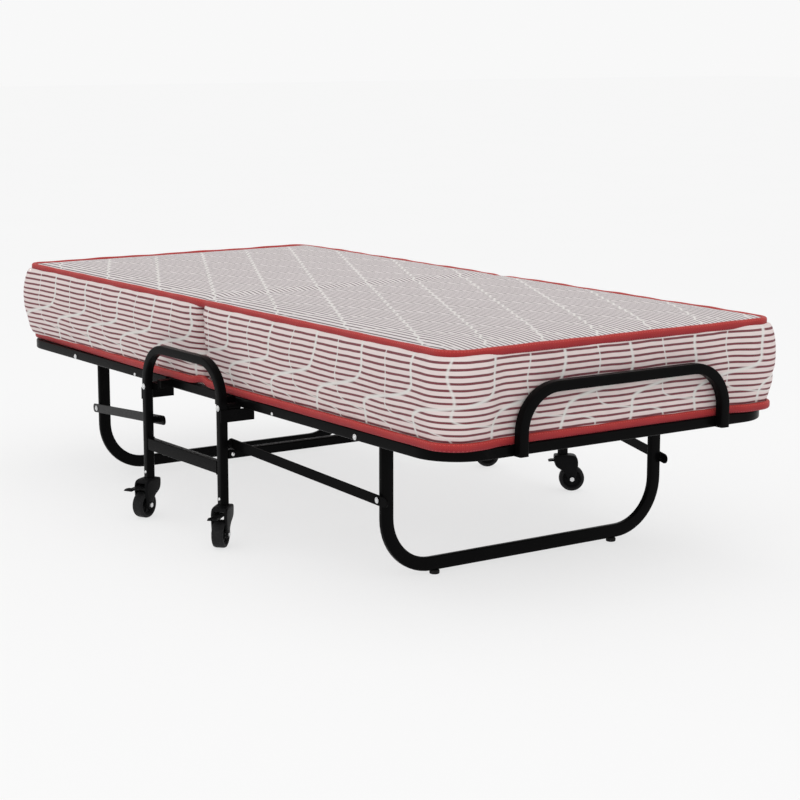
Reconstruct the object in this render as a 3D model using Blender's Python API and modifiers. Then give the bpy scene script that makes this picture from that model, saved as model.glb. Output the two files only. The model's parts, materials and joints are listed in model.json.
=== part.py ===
"""Folding cot: two hinged decks on a castored wheel frame, with fold-out legs and a mattress.

+X runs to the foot end, +Y to the sleeper's left, +Z up. The origin is on the floor, under the
middle of the bed. All sizes are in metres.
"""

import math

import bmesh
import bpy
from mathutils import Matrix, Vector

ENDS = {"head": -1, "foot": 1}
SIDES = {"right": -1, "left": 1}
CLEAR = 0.0003                # gap between two pieces that touch

# Wheel frame: one upright hoop on each side, standing on two casters
HOOP_HALF = 0.1752            # from the bed's middle to a hoop tube's centre, along X
HOOP_Y = 0.490                # hoop's middle plane, either side
HOOP_TOP = 0.419
HOOP_FOOT = 0.093
HOOP_CORNER = 0.085           # bend radius at the tube's centre line
FRAME_TUBE = 0.020            # square tube of the wheel frame
CROSSBAR_BOTTOM = 0.162
CROSSBAR_TOP = 0.190
CROSS_TUBE_BOTTOM = 0.197
PIVOT_Z = 0.3125              # deck pivot, on the hoop tube's centre line
REST_BOTTOM = 0.281
REST_TOP = 0.309
REST_INNER_Y = 0.414
PLATE = 0.003                 # sheet thickness of small brackets
STUD_PIN = 0.0050             # the stud that a link turns on: radii, then heights off the hoop's face
STUD_COLLAR = 0.0080
STUD_SINK = 0.0010
STUD_PIN_START = 0.0108
STUD_PIN_END = 0.0185
STUD_END = 0.0225

# Decks
RAIL_TUBE = 0.022
RAIL_HALF = 0.448             # outer face of the side rails
RAIL_END = 0.9575             # outer face of the end rail
RAIL_CORNER = 0.089
RAIL_BOTTOM = 0.311
RAIL_START = 0.163
CENTRE_RAIL_HALF = 0.148
EAR_THICK = 0.0043            # plate on the centre rail that each pivot bolt goes through
EAR_HALF = 0.0088
EAR_ROUND = 0.0095
OUTRIGGER = (0.127, 0.145)    # block between the centre rail and its ear, along X
PIVOT_BOSS = 0.0095
CROSS_MEMBER_X = 0.320
GRID_THICK = 0.004
GRID_BAR = 0.028
GRID_STARTS = 0.191
GRID_ENDS = 0.935
GRID_BARS_X = (0.205, 0.320, 0.435, 0.550, 0.700, 0.795)
GRID_LAST_BAR = (0.885, 0.412)   # its place and half length, short of the rail's corners
GRID_BARS_Y = (0.0, -0.28, -0.14, 0.14, 0.28)
END_HOOP_HALF = 0.2695
END_HOOP_TOP = 0.456
END_HOOP_FOOT = 0.312
END_HOOP_CORNER = 0.088
END_HOOP_X = 0.969

# Legs and links
LEG_X = 0.6456
LEG_PIVOT_Z = 0.3185
LEG_HALF = 0.370              # centre line of each upright, either side
LEG_WIDE = 0.030
LEG_DEEP = 0.015
LEG_BOTTOM = 0.009
LEG_CORNER = 0.112
PAD_Y = 0.246
PAD_RADIUS = 0.011
LINK_INNER = Vector((0.1752, 0.4655, 0.2300))
LINK_OUTER = Vector((0.6445, 0.3905, 0.1785))
LINK_HIGH = 0.022
LINK_THICK = 0.004
LINK_TAIL = {"head": 0.055, "foot": 0.012}
LINK_TIP = 0.013

# Casters: each stands on a stem in a hoop tube and trails in its own direction
WHEEL_RADIUS = 0.0315
WHEEL_WIDE = 0.027
TRAIL = 0.023
FORK_HALF = 0.019
FORK_TOP = 0.0925
STEM_RADIUS = 0.0055
STEM_TOP = 0.138
LEVER_Z = 0.0755
CASTERS = {                   # trail direction in degrees from +X, lever's side, its pivot and its length
    ("head", "right"): (-63.8, 1, -0.006, 0.094),
    ("foot", "right"): (-46.9, 1, -0.006, 0.094),
    ("head", "left"): (63.8, 1, -0.006, 0.094),
    ("foot", "left"): (55.2, -1, 0.028, 0.064),
}

# Mattress
MATTRESS_HALF_LONG = 0.950
MATTRESS_HALF_WIDE = 0.440
MATTRESS_TOP = 0.532
MATTRESS_SPLIT = 0.360        # where the part that bends meets the two stiff halves
MATTRESS_EDGE = 0.012
BOLT_HOLE = 0.0043
BOLT_SHANK = 0.0040


# ------------------------------------------------------------------ helpers


def clear_scene():
    for obj in list(bpy.data.objects):
        bpy.data.objects.remove(obj, do_unlink=True)


def collection(name, hidden=False):
    made = bpy.data.collections.new(name)
    bpy.context.scene.collection.children.link(made)
    made.hide_render = hidden
    return made


def material(name, colour, roughness, metallic=0.0):
    made = bpy.data.materials.new(name)
    made.use_nodes = True
    shader = made.node_tree.nodes["Principled BSDF"]
    shader.inputs["Base Color"].default_value = (*colour, 1.0)
    shader.inputs["Roughness"].default_value = roughness
    shader.inputs["Metallic"].default_value = metallic
    made.diffuse_color = (*colour, 1.0)
    return made


def finish_mesh(bm, name):
    """Closes the small seams, turns every face outwards and returns the mesh."""
    bmesh.ops.remove_doubles(bm, verts=bm.verts, dist=1e-5)
    bmesh.ops.recalc_face_normals(bm, faces=bm.faces)
    mesh = bpy.data.meshes.new(name)
    bm.to_mesh(mesh)
    bm.free()
    mesh.shade_smooth()
    mesh.set_sharp_from_angle(angle=math.radians(32))
    return mesh


def place(name, mesh, finish, parent=None):
    """A visible part, held by the joint empty that it turns with."""
    obj = bpy.data.objects.new(name, mesh)
    if finish:
        mesh.materials.clear()
        mesh.materials.append(finish)
    PARTS.objects.link(obj)
    if parent:
        obj.parent = parent
        obj.matrix_parent_inverse = parent.matrix_basis.inverted()
    return obj


def pivot(name, position, turn=0.0):
    """An empty on a joint's axis."""
    empty = bpy.data.objects.new(name, None)
    empty.empty_display_size = 0.04
    empty.matrix_basis = Matrix.Translation(position) @ Matrix.Rotation(turn, 4, "Z")
    PARTS.objects.link(empty)
    return empty


def box_mesh(name, low, high, edge=0.0):
    bm = bmesh.new()
    bmesh.ops.create_cube(bm, size=1.0)
    low, high = Vector(low), Vector(high)
    bmesh.ops.scale(bm, vec=high - low, verts=bm.verts)
    bmesh.ops.translate(bm, vec=(low + high) / 2, verts=bm.verts)
    if edge:
        bmesh.ops.bevel(bm, geom=bm.edges[:], offset=edge, segments=1, affect="EDGES")
    return finish_mesh(bm, name)


def rod_mesh(name, start, end, radius, segments=16):
    """A plain cylinder from one point to another."""
    start, end = Vector(start), Vector(end)
    bm = bmesh.new()
    bmesh.ops.create_cone(bm, cap_ends=True, segments=segments, radius1=radius, radius2=radius,
                          depth=(end - start).length)
    turn = (end - start).to_track_quat("Z", "Y").to_matrix().to_4x4()
    bmesh.ops.transform(bm, matrix=Matrix.Translation((start + end) / 2) @ turn, verts=bm.verts)
    return finish_mesh(bm, name)


def turned_mesh(name, profile, matrix, closed=False, steps=14):
    """Turns a profile of (radius, height) about the local Z axis, then places it."""
    mesh = bpy.data.meshes.new(name + "_profile")
    edges = [(i, i + 1) for i in range(len(profile) - 1)]
    if closed:
        edges.append((len(profile) - 1, 0))
    mesh.from_pydata([(radius, 0.0, height) for radius, height in profile], edges, [])
    shape = bpy.data.objects.new(name + "_profile", mesh)
    GUIDES.objects.link(shape)
    screw = shape.modifiers.new("turn", "SCREW")
    screw.axis = "Z"
    screw.steps = screw.render_steps = steps
    screw.use_merge_vertices = True
    screw.merge_threshold = 0.00001
    screw.use_normal_calculate = True
    return realise(shape, name, matrix)


def realise(shape, name, matrix=Matrix.Identity(4)):
    """The evaluated mesh of a guide object, which is then removed."""
    bpy.context.view_layer.update()
    graph = bpy.context.evaluated_depsgraph_get()
    mesh = bpy.data.meshes.new_from_object(shape.evaluated_get(graph))
    bm = bmesh.new()
    bm.from_mesh(mesh)
    bpy.data.objects.remove(shape, do_unlink=True)
    bpy.data.meshes.remove(mesh)
    bmesh.ops.transform(bm, matrix=matrix, verts=bm.verts)
    return finish_mesh(bm, name)


# The local X and Y of a flat outline, and its thickness direction, as world axes
PLANES = {
    "XZ": Matrix(((1, 0, 0), (0, 0, -1), (0, 1, 0))),
    "YZ": Matrix(((0, 0, 1), (1, 0, 0), (0, 1, 0))),
    "YX": Matrix(((0, 1, 0), (1, 0, 0), (0, 0, -1))),
}


def outline_mesh(name, outline, plane, centre, thickness, edge=0.0):
    """A flat outline with rounded long edges: the way a bent tube or a pressed plate is drawn."""
    curve = bpy.data.curves.new(name, "CURVE")
    curve.dimensions = "2D"
    curve.fill_mode = "BOTH"
    curve.extrude = thickness / 2 - edge
    curve.bevel_depth = edge
    curve.bevel_resolution = 0
    curve.offset = -edge
    spline = curve.splines.new("POLY")
    spline.points.add(len(outline) - 1)
    for point, (x, y) in zip(spline.points, outline):
        point.co = (x, y, 0, 1)
    spline.use_cyclic_u = True
    shape = bpy.data.objects.new(name, curve)
    GUIDES.objects.link(shape)
    return realise(shape, name, Matrix.Translation(centre) @ PLANES[plane].to_4x4())


def u_outline(half, open_end, closed_end, radius, width, steps=6):
    """The outline of a tube bent to a U: its two arms lie at +-half, and it turns at closed_end."""
    way = 1 if closed_end > open_end else -1
    outline = []
    for offset, back in ((width / 2, False), (-width / 2, True)):
        arm, top, bend = half + offset, closed_end + way * offset, radius + offset
        quarter = [math.radians(90 * i / steps) for i in range(steps + 1)]
        left = [(-arm + bend - bend * math.cos(a), top - way * (bend - bend * math.sin(a))) for a in quarter]
        line = [(-arm, open_end)] + left + [(-x, y) for x, y in reversed(left)] + [(arm, open_end)]
        outline += reversed(line) if back else line
    return outline


def stadium(start, end, radius, steps=6):
    """A bar's outline with round ends, from start to end along X."""
    right = [math.radians(-90 + 180 * i / steps) for i in range(steps + 1)]
    outline = [(end + radius * math.cos(a), radius * math.sin(a)) for a in right]
    outline += [(start - radius * math.cos(a), -radius * math.sin(a)) for a in right]
    return outline


def boolean(obj, tool_mesh, operation="DIFFERENCE"):
    """Cuts a hole with a hidden tool, or joins it on."""
    tool = bpy.data.objects.new(tool_mesh.name + "_tool", tool_mesh)
    tool.hide_render = True
    tool.display_type = "WIRE"
    CUTTERS.objects.link(tool)
    modifier = obj.modifiers.new(operation.lower(), "BOOLEAN")
    modifier.operation = operation
    modifier.solver = "EXACT"
    modifier.object = tool
    return tool


def bore(obj, x, z, y_low, y_high, radius=BOLT_HOLE):
    return boolean(obj, rod_mesh("bore", (x, y_low, z), (x, y_high, z), radius, 12))


def across(point, side):
    """A frame whose Z axis points outwards along Y on the given side."""
    turn = Vector((0, side, 0)).to_track_quat("Z", "X").to_matrix().to_4x4()
    return Matrix.Translation(point) @ turn


# ------------------------------------------------------------------ wheel frame


def wheel_hoop(side_name, side):
    """Upright hoop with the bores for its bolts and stems, and the two studs that the links turn on."""
    outline = u_outline(HOOP_HALF, HOOP_FOOT, HOOP_TOP - FRAME_TUBE / 2, HOOP_CORNER, FRAME_TUBE)
    mesh = outline_mesh(f"wheel_hoop_{side_name}", outline, "XZ", (0, side * HOOP_Y, 0), FRAME_TUBE, 0.003)
    hoop = place(f"wheel_hoop_{side_name}", mesh, BLACK_STEEL)
    inner = HOOP_Y - FRAME_TUBE / 2
    stud = [(0, STUD_SINK), (STUD_COLLAR, STUD_SINK), (STUD_COLLAR, -STUD_PIN_START),
            (STUD_PIN, -STUD_PIN_START), (STUD_PIN, -STUD_PIN_END), (STUD_COLLAR, -STUD_PIN_END),
            (STUD_COLLAR, -STUD_END), (0, -STUD_END)]
    for end in ENDS.values():
        frame = across((end * LINK_INNER.x, side * inner, LINK_INNER.z), side)
        boolean(hoop, turned_mesh("link_stud", stud, frame, steps=12), "UNION")
        bore(hoop, end * HOOP_HALF, PIVOT_Z, side * (HOOP_Y - 0.02), side * (HOOP_Y + 0.02))
        foot = (end * HOOP_HALF, side * HOOP_Y, HOOP_FOOT - 0.01)
        socket = rod_mesh("stem_socket", foot, (foot[0], foot[1], STEM_TOP + 0.002), STEM_RADIUS + CLEAR, 12)
        boolean(hoop, socket)


def crossbar(side_name, side):
    reach = HOOP_HALF - FRAME_TUBE / 2 - CLEAR
    half = FRAME_TUBE / 2 - 0.0005
    place(f"hoop_crossbar_{side_name}",
          box_mesh("crossbar", (-reach, side * HOOP_Y - half, CROSSBAR_BOTTOM),
                   (reach, side * HOOP_Y + half, CROSSBAR_TOP), 0.002), BLACK_STEEL)


def cross_tube():
    """Square tube that ties the two hoops together, close to their foot-end uprights."""
    reach = HOOP_Y - FRAME_TUBE / 2 - CLEAR
    half = FRAME_TUBE / 2
    low = (HOOP_HALF - half, -reach, CROSS_TUBE_BOTTOM)
    high = (HOOP_HALF + half, reach, CROSS_TUBE_BOTTOM + FRAME_TUBE)
    place("wheel_frame_cross_tube", box_mesh("cross_tube", low, high, 0.002), BLACK_STEEL)


def rest_bracket(end_name, end, side_name, side):
    """Flat plate on the hoop's outboard face: the open deck rail rests on it."""
    near = end * (HOOP_HALF + FRAME_TUBE / 2 + CLEAR)
    far = near + end * PLATE
    inner, outer = side * REST_INNER_Y, side * (HOOP_Y + FRAME_TUBE / 2)
    low = (min(near, far), min(inner, outer), REST_BOTTOM)
    high = (max(near, far), max(inner, outer), REST_TOP)
    place(f"rest_bracket_{end_name}_{side_name}", box_mesh("rest_bracket", low, high, 0.0005), BLACK_STEEL)


def centre_rail(side_name, side):
    """Short fixed rail between the decks, with an ear on each pivot bolt."""
    face = HOOP_Y - FRAME_TUBE / 2 - CLEAR
    top = RAIL_BOTTOM + RAIL_TUBE
    y_low, y_high = sorted((side * RAIL_HALF, side * (RAIL_HALF - RAIL_TUBE)))
    body = box_mesh("centre_rail", (-CENTRE_RAIL_HALF, y_low, RAIL_BOTTOM),
                    (CENTRE_RAIL_HALF, y_high, top), 0.002)
    rail = place(f"centre_rail_{side_name}", body, BLACK_STEEL)
    for end in ENDS.values():
        x_low, x_high = sorted(end * x for x in OUTRIGGER)
        o_low, o_high = sorted((side * face, side * (RAIL_HALF - 0.004)))
        boolean(rail, box_mesh("outrigger", (x_low, o_low, RAIL_BOTTOM + 0.002),
                               (x_high, o_high, top - 0.002)), "UNION")
        e_low, e_high = sorted((side * (face - CLEAR), side * (face - EAR_THICK + CLEAR)))
        x_low, x_high = sorted((end * (CENTRE_RAIL_HALF - 0.010), end * HOOP_HALF))
        boolean(rail, box_mesh("ear", (x_low, e_low, PIVOT_Z - EAR_HALF),
                               (x_high, e_high, PIVOT_Z + EAR_HALF)), "UNION")
        boolean(rail, rod_mesh("ear_round", (end * HOOP_HALF, side * face, PIVOT_Z),
                               (end * HOOP_HALF, side * (face - EAR_THICK), PIVOT_Z), EAR_ROUND), "UNION")
        bore(rail, end * HOOP_HALF, PIVOT_Z, side * (face + 0.005), side * (face - 0.010))


def deck_pivot_bolt(end_name, end, side_name, side):
    """Bolt from the hoop's outer face, through the centre rail's ear, to a nut inside the deck rail."""
    outer = FRAME_TUBE / 2 + CLEAR
    nut = RAIL_HALF - RAIL_TUBE - CLEAR - HOOP_Y
    profile = [(0, outer + 0.0045), (0.0045, outer + 0.0040), (0.0070, outer + 0.0020), (0.0070, outer),
               (BOLT_SHANK, outer), (BOLT_SHANK, nut), (0.0068, nut), (0.0068, nut - 0.0050),
               (0, nut - 0.0050)]
    frame = across((end * HOOP_HALF, side * HOOP_Y, PIVOT_Z), side)
    place(f"deck_pivot_bolt_{end_name}_{side_name}", turned_mesh("pivot_bolt", profile, frame), ZINC)


# ------------------------------------------------------------------ decks


def deck_rail(end_name, end, joint):
    """U-shaped rail in plan, with a pivot boss at each open end."""
    outline = u_outline(RAIL_HALF - RAIL_TUBE / 2, RAIL_START, RAIL_END - RAIL_TUBE / 2,
                        RAIL_CORNER, RAIL_TUBE)
    outline = [(x, end * y) for x, y in outline]
    centre = (0, 0, RAIL_BOTTOM + RAIL_TUBE / 2)
    mesh = outline_mesh(f"{end_name}_deck_rail", outline, "YX", centre, RAIL_TUBE, 0.003)
    rail = place(f"{end_name}_deck_rail", mesh, BLACK_STEEL, joint)
    ear = HOOP_Y - FRAME_TUBE / 2 - CLEAR - EAR_THICK - CLEAR
    for side in SIDES.values():
        inner = side * (RAIL_HALF - RAIL_TUBE)
        x = end * HOOP_HALF
        boss = rod_mesh("pivot_boss", (x, inner, PIVOT_Z), (x, side * ear, PIVOT_Z), PIVOT_BOSS)
        boolean(rail, boss, "UNION")
        bore(rail, x, PIVOT_Z, side * (RAIL_HALF - 0.04), side * (HOOP_Y + 0.01))
        bore(rail, end * LEG_X, LEG_PIVOT_Z, side * (RAIL_HALF - 0.04), side * (RAIL_HALF + 0.02))


def deck_grid(end_name, end, joint):
    """Lattice of flat bars inside the rail, level with its top: one welded piece."""
    top = RAIL_BOTTOM + RAIL_TUBE - 0.0005
    inner = RAIL_HALF - RAIL_TUBE - CLEAR
    across_bars = [(x, inner) for x in GRID_BARS_X] + [GRID_LAST_BAR]
    grid = None
    for y in GRID_BARS_Y:
        x_low, x_high = sorted((end * GRID_STARTS, end * GRID_ENDS))
        bar = box_mesh("grid_bar", (x_low, y - GRID_BAR / 2, top - GRID_THICK),
                       (x_high, y + GRID_BAR / 2, top))
        if grid:
            boolean(grid, bar, "UNION")
        else:
            grid = place(f"{end_name}_deck_grid", bar, BLACK_STEEL, joint)
    for x, reach in across_bars:
        low = (end * x - GRID_BAR / 2, -reach, top - GRID_THICK)
        high = (end * x + GRID_BAR / 2, reach, top)
        boolean(grid, box_mesh("grid_bar", low, high), "UNION")


def deck_cross_member(end_name, end, joint):
    half = FRAME_TUBE / 2
    inner = RAIL_HALF - RAIL_TUBE - CLEAR
    top = RAIL_BOTTOM + RAIL_TUBE - 0.0005 - GRID_THICK - CLEAR
    mesh = box_mesh("cross_member", (end * CROSS_MEMBER_X - half, -inner, top - FRAME_TUBE),
                    (end * CROSS_MEMBER_X + half, inner, top), 0.002)
    place(f"{end_name}_deck_cross_member", mesh, BLACK_STEEL, joint)


def end_hoop(end_name, end, joint):
    """Hoop that stands on the end rail and keeps the mattress from sliding off."""
    outline = u_outline(END_HOOP_HALF, END_HOOP_FOOT, END_HOOP_TOP - RAIL_TUBE / 2,
                        END_HOOP_CORNER, RAIL_TUBE)
    mesh = outline_mesh(f"{end_name}_end_hoop", outline, "YZ", (end * END_HOOP_X, 0, 0), RAIL_TUBE, 0.003)
    place(f"{end_name}_end_hoop", mesh, BLACK_STEEL, joint)


def leg_pivot_bolt(end_name, end, side_name, side, joint):
    """Shouldered bolt: head outside the rail, shoulder up to the leg, nut inside the leg."""
    head = RAIL_HALF + CLEAR - LEG_HALF
    rail_in = RAIL_HALF - RAIL_TUBE - CLEAR - LEG_HALF
    leg_out = LEG_WIDE / 2 + CLEAR
    nut = -LEG_WIDE / 2 - CLEAR
    profile = [(0, head + 0.0040), (0.0040, head + 0.0036), (0.0062, head + 0.0016), (0.0062, head),
               (BOLT_SHANK, head), (BOLT_SHANK, rail_in), (0.0075, rail_in), (0.0075, leg_out),
               (BOLT_SHANK, leg_out), (BOLT_SHANK, nut), (0.0065, nut), (0.0065, nut - 0.0045),
               (0, nut - 0.0045)]
    frame = across((end * LEG_X, side * LEG_HALF, LEG_PIVOT_Z), side)
    name = f"leg_pivot_bolt_{end_name}_{side_name}"
    place(name, turned_mesh("leg_bolt", profile, frame), ZINC, joint)


# ------------------------------------------------------------------ legs and links


def leg(end_name, end, joint):
    """U-shaped leg of flat tube, hung on two bolts under the deck rail."""
    outline = u_outline(LEG_HALF, LEG_PIVOT_Z + 0.007, LEG_BOTTOM + LEG_WIDE / 2, LEG_CORNER, LEG_WIDE)
    mesh = outline_mesh(f"{end_name}_leg", outline, "YZ", (end * LEG_X, 0, 0), LEG_DEEP, 0.003)
    made = place(f"{end_name}_leg", mesh, BLACK_STEEL, joint)
    for side in SIDES.values():
        bore(made, end * LEG_X, LEG_PIVOT_Z, side * (LEG_HALF - 0.03), side * (LEG_HALF + 0.03))


def foot_pad(end_name, end, side_name, side, joint):
    top = LEG_BOTTOM - CLEAR
    profile = [(0, top), (PAD_RADIUS, top), (PAD_RADIUS, 0.0015), (PAD_RADIUS - 0.0015, 0), (0, 0)]
    frame = Matrix.Translation((end * LEG_X, side * PAD_Y, 0))
    place(f"foot_pad_{end_name}_{side_name}", turned_mesh("pad", profile, frame, steps=16), RUBBER, joint)


def link(end_name, end, side_name, side, joint):
    """Flat bar that folds the leg as the deck swings up. It turns on the hoop's stud."""
    inner = Vector((end * LINK_INNER.x, side * LINK_INNER.y, LINK_INNER.z))
    outer = Vector((end * LINK_OUTER.x, side * LINK_OUTER.y, LINK_OUTER.z))
    along = (outer - inner).normalized()
    flat = Vector((0, 0, 1)).cross(along).normalized()
    frame = Matrix((along, along.cross(flat), -flat)).transposed().to_4x4()
    reach = (outer - inner).length
    round_end = LINK_HIGH / 2
    outline = stadium(-LINK_TAIL[end_name] + round_end, reach + LINK_TIP - round_end, round_end)
    curve_mesh = outline_mesh("link", outline, "XZ", (0, 0, 0), LINK_THICK, 0.0005)
    curve_mesh.transform(PLANES["XZ"].to_4x4().inverted())
    curve_mesh.transform(Matrix.Translation(inner) @ frame)
    bar = place(f"link_{end_name}_{side_name}", curve_mesh, BLACK_STEEL, joint)
    bore(bar, inner.x, inner.z, inner.y - 0.02, inner.y + 0.02, 0.0056)
    bore(bar, outer.x, outer.z, outer.y - 0.02, outer.y + 0.02, 0.0034)


def link_rivet(end_name, end, side_name, side, joint):
    """Rivet at the link's outer end. It stops just short of the leg, where the loop is opened."""
    face = LINK_THICK / 2 + 0.0013
    stop = LEG_HALF + LEG_WIDE / 2 + CLEAR - LINK_OUTER.y
    profile = [(0, face + 0.0034), (0.0040, face + 0.0028), (0.0060, face + 0.0010), (0.0060, face),
               (0.0030, face), (0.0030, stop), (0, stop)]
    frame = across((end * LINK_OUTER.x, side * LINK_OUTER.y, LINK_OUTER.z), side)
    name = f"link_rivet_{end_name}_{side_name}"
    place(name, turned_mesh("rivet", profile, frame, steps=12), ZINC, joint)


# ------------------------------------------------------------------ casters


def fork_mesh():
    """Hooded fork: a pressed hood over the wheel, with the stem standing on it."""
    boss = [(TRAIL + 0.010 * math.cos(a), WHEEL_RADIUS + 0.010 * math.sin(a))
            for a in (math.radians(-180 * i / 6) for i in range(7))]
    outline = [(-0.018, FORK_TOP), (0.020, FORK_TOP), (0.030, 0.0885), (0.0365, 0.079), (0.0375, 0.062)]
    outline += boss + [(0.006, 0.050), (-0.013, 0.062), (-0.020, 0.070), (-0.0215, 0.087)]
    mesh = outline_mesh("fork", outline, "XZ", (0, 0, 0), 2 * FORK_HALF, 0.002)
    fork = bpy.data.objects.new("fork", mesh)
    GUIDES.objects.link(fork)
    slot = WHEEL_WIDE / 2 + 0.0013
    boolean(fork, box_mesh("wheel_slot", (-0.04, -slot, 0.0), (0.06, slot, 2 * WHEEL_RADIUS + 0.0025)))
    boolean(fork, box_mesh("lever_slot", (-0.04, -0.0125, 0.0600), (0.06, 0.0125, 0.0840)))
    boolean(fork, rod_mesh("stem", (0, 0, FORK_TOP - 0.003), (0, 0, STEM_TOP), STEM_RADIUS, 12), "UNION")
    bore(fork, TRAIL, WHEEL_RADIUS, -0.03, 0.03)
    return realise(fork, "caster_fork")


def wheel_mesh():
    half = WHEEL_WIDE / 2
    face = [(BOLT_HOLE, 0.0125), (0.0120, 0.0125), (0.0130, 0.0100), (0.0235, 0.0100), (0.0245, half),
            (0.0295, half), (WHEEL_RADIUS, half - 0.0040)]
    profile = face + [(radius, -height) for radius, height in reversed(face)]
    upright = Matrix.Rotation(math.radians(90), 4, "X")
    return turned_mesh("caster_wheel", profile, upright, closed=True, steps=24)


def axle_mesh():
    side = FORK_HALF + CLEAR
    profile = [(0, side + 0.0035), (0.0062, side + 0.0035), (0.0062, side), (BOLT_SHANK, side),
               (BOLT_SHANK, -side), (0.0062, -side), (0.0062, -side - 0.0030), (0, -side - 0.0030)]
    upright = Matrix.Rotation(math.radians(90), 4, "X")
    return turned_mesh("caster_axle", profile, upright, steps=12)


def lever_mesh(way, length):
    """Brake pedal, drawn from its pivot: a thin bent plate with a rolled tip."""
    top = [(-0.004, 0.0028), (length - 0.043, 0.0012), (length - 0.026, 0.0008), (length - 0.014, 0.0034),
           (length, 0.0016)]
    under = [(length, -0.0008), (length - 0.013, 0.0004), (length - 0.026, -0.0022),
             (length - 0.043, -0.0018), (-0.004, -0.0024)]
    outline = [(way * x, z) for x, z in top + under]
    return outline_mesh("brake_lever", outline, "XZ", (0, 0, 0), 0.022, 0.0004)


def caster(end_name, end, side_name, side):
    turn_degrees, lever_way, lever_x, lever_length = CASTERS[(end_name, side_name)]
    turn = math.radians(turn_degrees)
    where = f"{end_name}_{side_name}"
    swivel = pivot(f"caster_swivel_{where}", (end * HOOP_HALF, side * HOOP_Y, 0), turn)
    pieces = (("caster_fork", FORK_MESH, BLACK_PLASTIC, (0, 0, 0)),
              ("caster_wheel", WHEEL_MESH, WHEEL_RUBBER, (TRAIL, 0, WHEEL_RADIUS)),
              ("caster_axle", AXLE_MESH, ZINC, (TRAIL, 0, WHEEL_RADIUS)),
              ("brake_lever", lever_mesh(lever_way, lever_length), BLACK_PLASTIC, (lever_x, 0, LEVER_Z)))
    for name, mesh, finish, offset in pieces:
        piece = place(f"{name}_{where}", mesh, finish)
        piece.parent = swivel
        piece.location = offset


# ------------------------------------------------------------------ mattress


def mattress_part(name, x_low, x_high, joint=None):
    bottom = RAIL_BOTTOM + RAIL_TUBE + 0.0005
    low = (x_low, -MATTRESS_HALF_WIDE, bottom)
    high = (x_high, MATTRESS_HALF_WIDE, MATTRESS_TOP)
    place(name, box_mesh(name, low, high, MATTRESS_EDGE), TICKING, joint)


# ------------------------------------------------------------------ assembly

clear_scene()
PARTS = collection("folding_cot")
CUTTERS = collection("cutters", hidden=True)
GUIDES = collection("guides")
BLACK_STEEL = material("black_powder_coat", (0.012, 0.012, 0.013), 0.32)
ZINC = material("zinc_plate", (0.62, 0.62, 0.60), 0.35, 1.0)
RUBBER = material("foot_rubber", (0.018, 0.018, 0.018), 0.75)
WHEEL_RUBBER = material("wheel_rubber", (0.022, 0.022, 0.023), 0.60)
BLACK_PLASTIC = material("caster_black", (0.014, 0.014, 0.015), 0.42)
TICKING = material("striped_ticking", (0.78, 0.68, 0.66), 0.85)
FORK_MESH = fork_mesh()
WHEEL_MESH = wheel_mesh()
AXLE_MESH = axle_mesh()

cross_tube()
mattress_part("mattress_middle", -MATTRESS_SPLIT + CLEAR, MATTRESS_SPLIT - CLEAR)
for side_name, side in SIDES.items():
    wheel_hoop(side_name, side)
    crossbar(side_name, side)
    centre_rail(side_name, side)

for end_name, end in ENDS.items():
    fold = pivot(f"{end_name}_fold", (end * HOOP_HALF, 0, PIVOT_Z))
    leg_fold = pivot(f"{end_name}_leg_fold", (end * LEG_X, 0, LEG_PIVOT_Z))
    link_swing = pivot(f"{end_name}_link_swing", (end * LINK_INNER.x, 0, LINK_INNER.z))
    deck_rail(end_name, end, fold)
    deck_grid(end_name, end, fold)
    deck_cross_member(end_name, end, fold)
    end_hoop(end_name, end, fold)
    near, far = sorted((end * MATTRESS_SPLIT, end * MATTRESS_HALF_LONG))
    mattress_part(f"mattress_{end_name}", near, far, fold)
    leg(end_name, end, leg_fold)
    for side_name, side in SIDES.items():
        rest_bracket(end_name, end, side_name, side)
        deck_pivot_bolt(end_name, end, side_name, side)
        leg_pivot_bolt(end_name, end, side_name, side, fold)
        foot_pad(end_name, end, side_name, side, leg_fold)
        link(end_name, end, side_name, side, link_swing)
        link_rivet(end_name, end, side_name, side, link_swing)
        caster(end_name, end, side_name, side)

bpy.context.view_layer.update()
print(len([obj for obj in PARTS.objects if obj.type == "MESH"]), "parts")
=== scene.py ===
# %% [markdown]
# # A folding cot
# This lesson dresses a rollaway bed: a black powder-coated frame on four casters, with a striped
# and quilted mattress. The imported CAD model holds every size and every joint, so it is loaded
# first and never moved. Each piece made here is placed from the boxes of the CAD nodes.

import json
import math

import bmesh
import bpy
import numpy as np
from mathutils import Matrix, Vector

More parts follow.
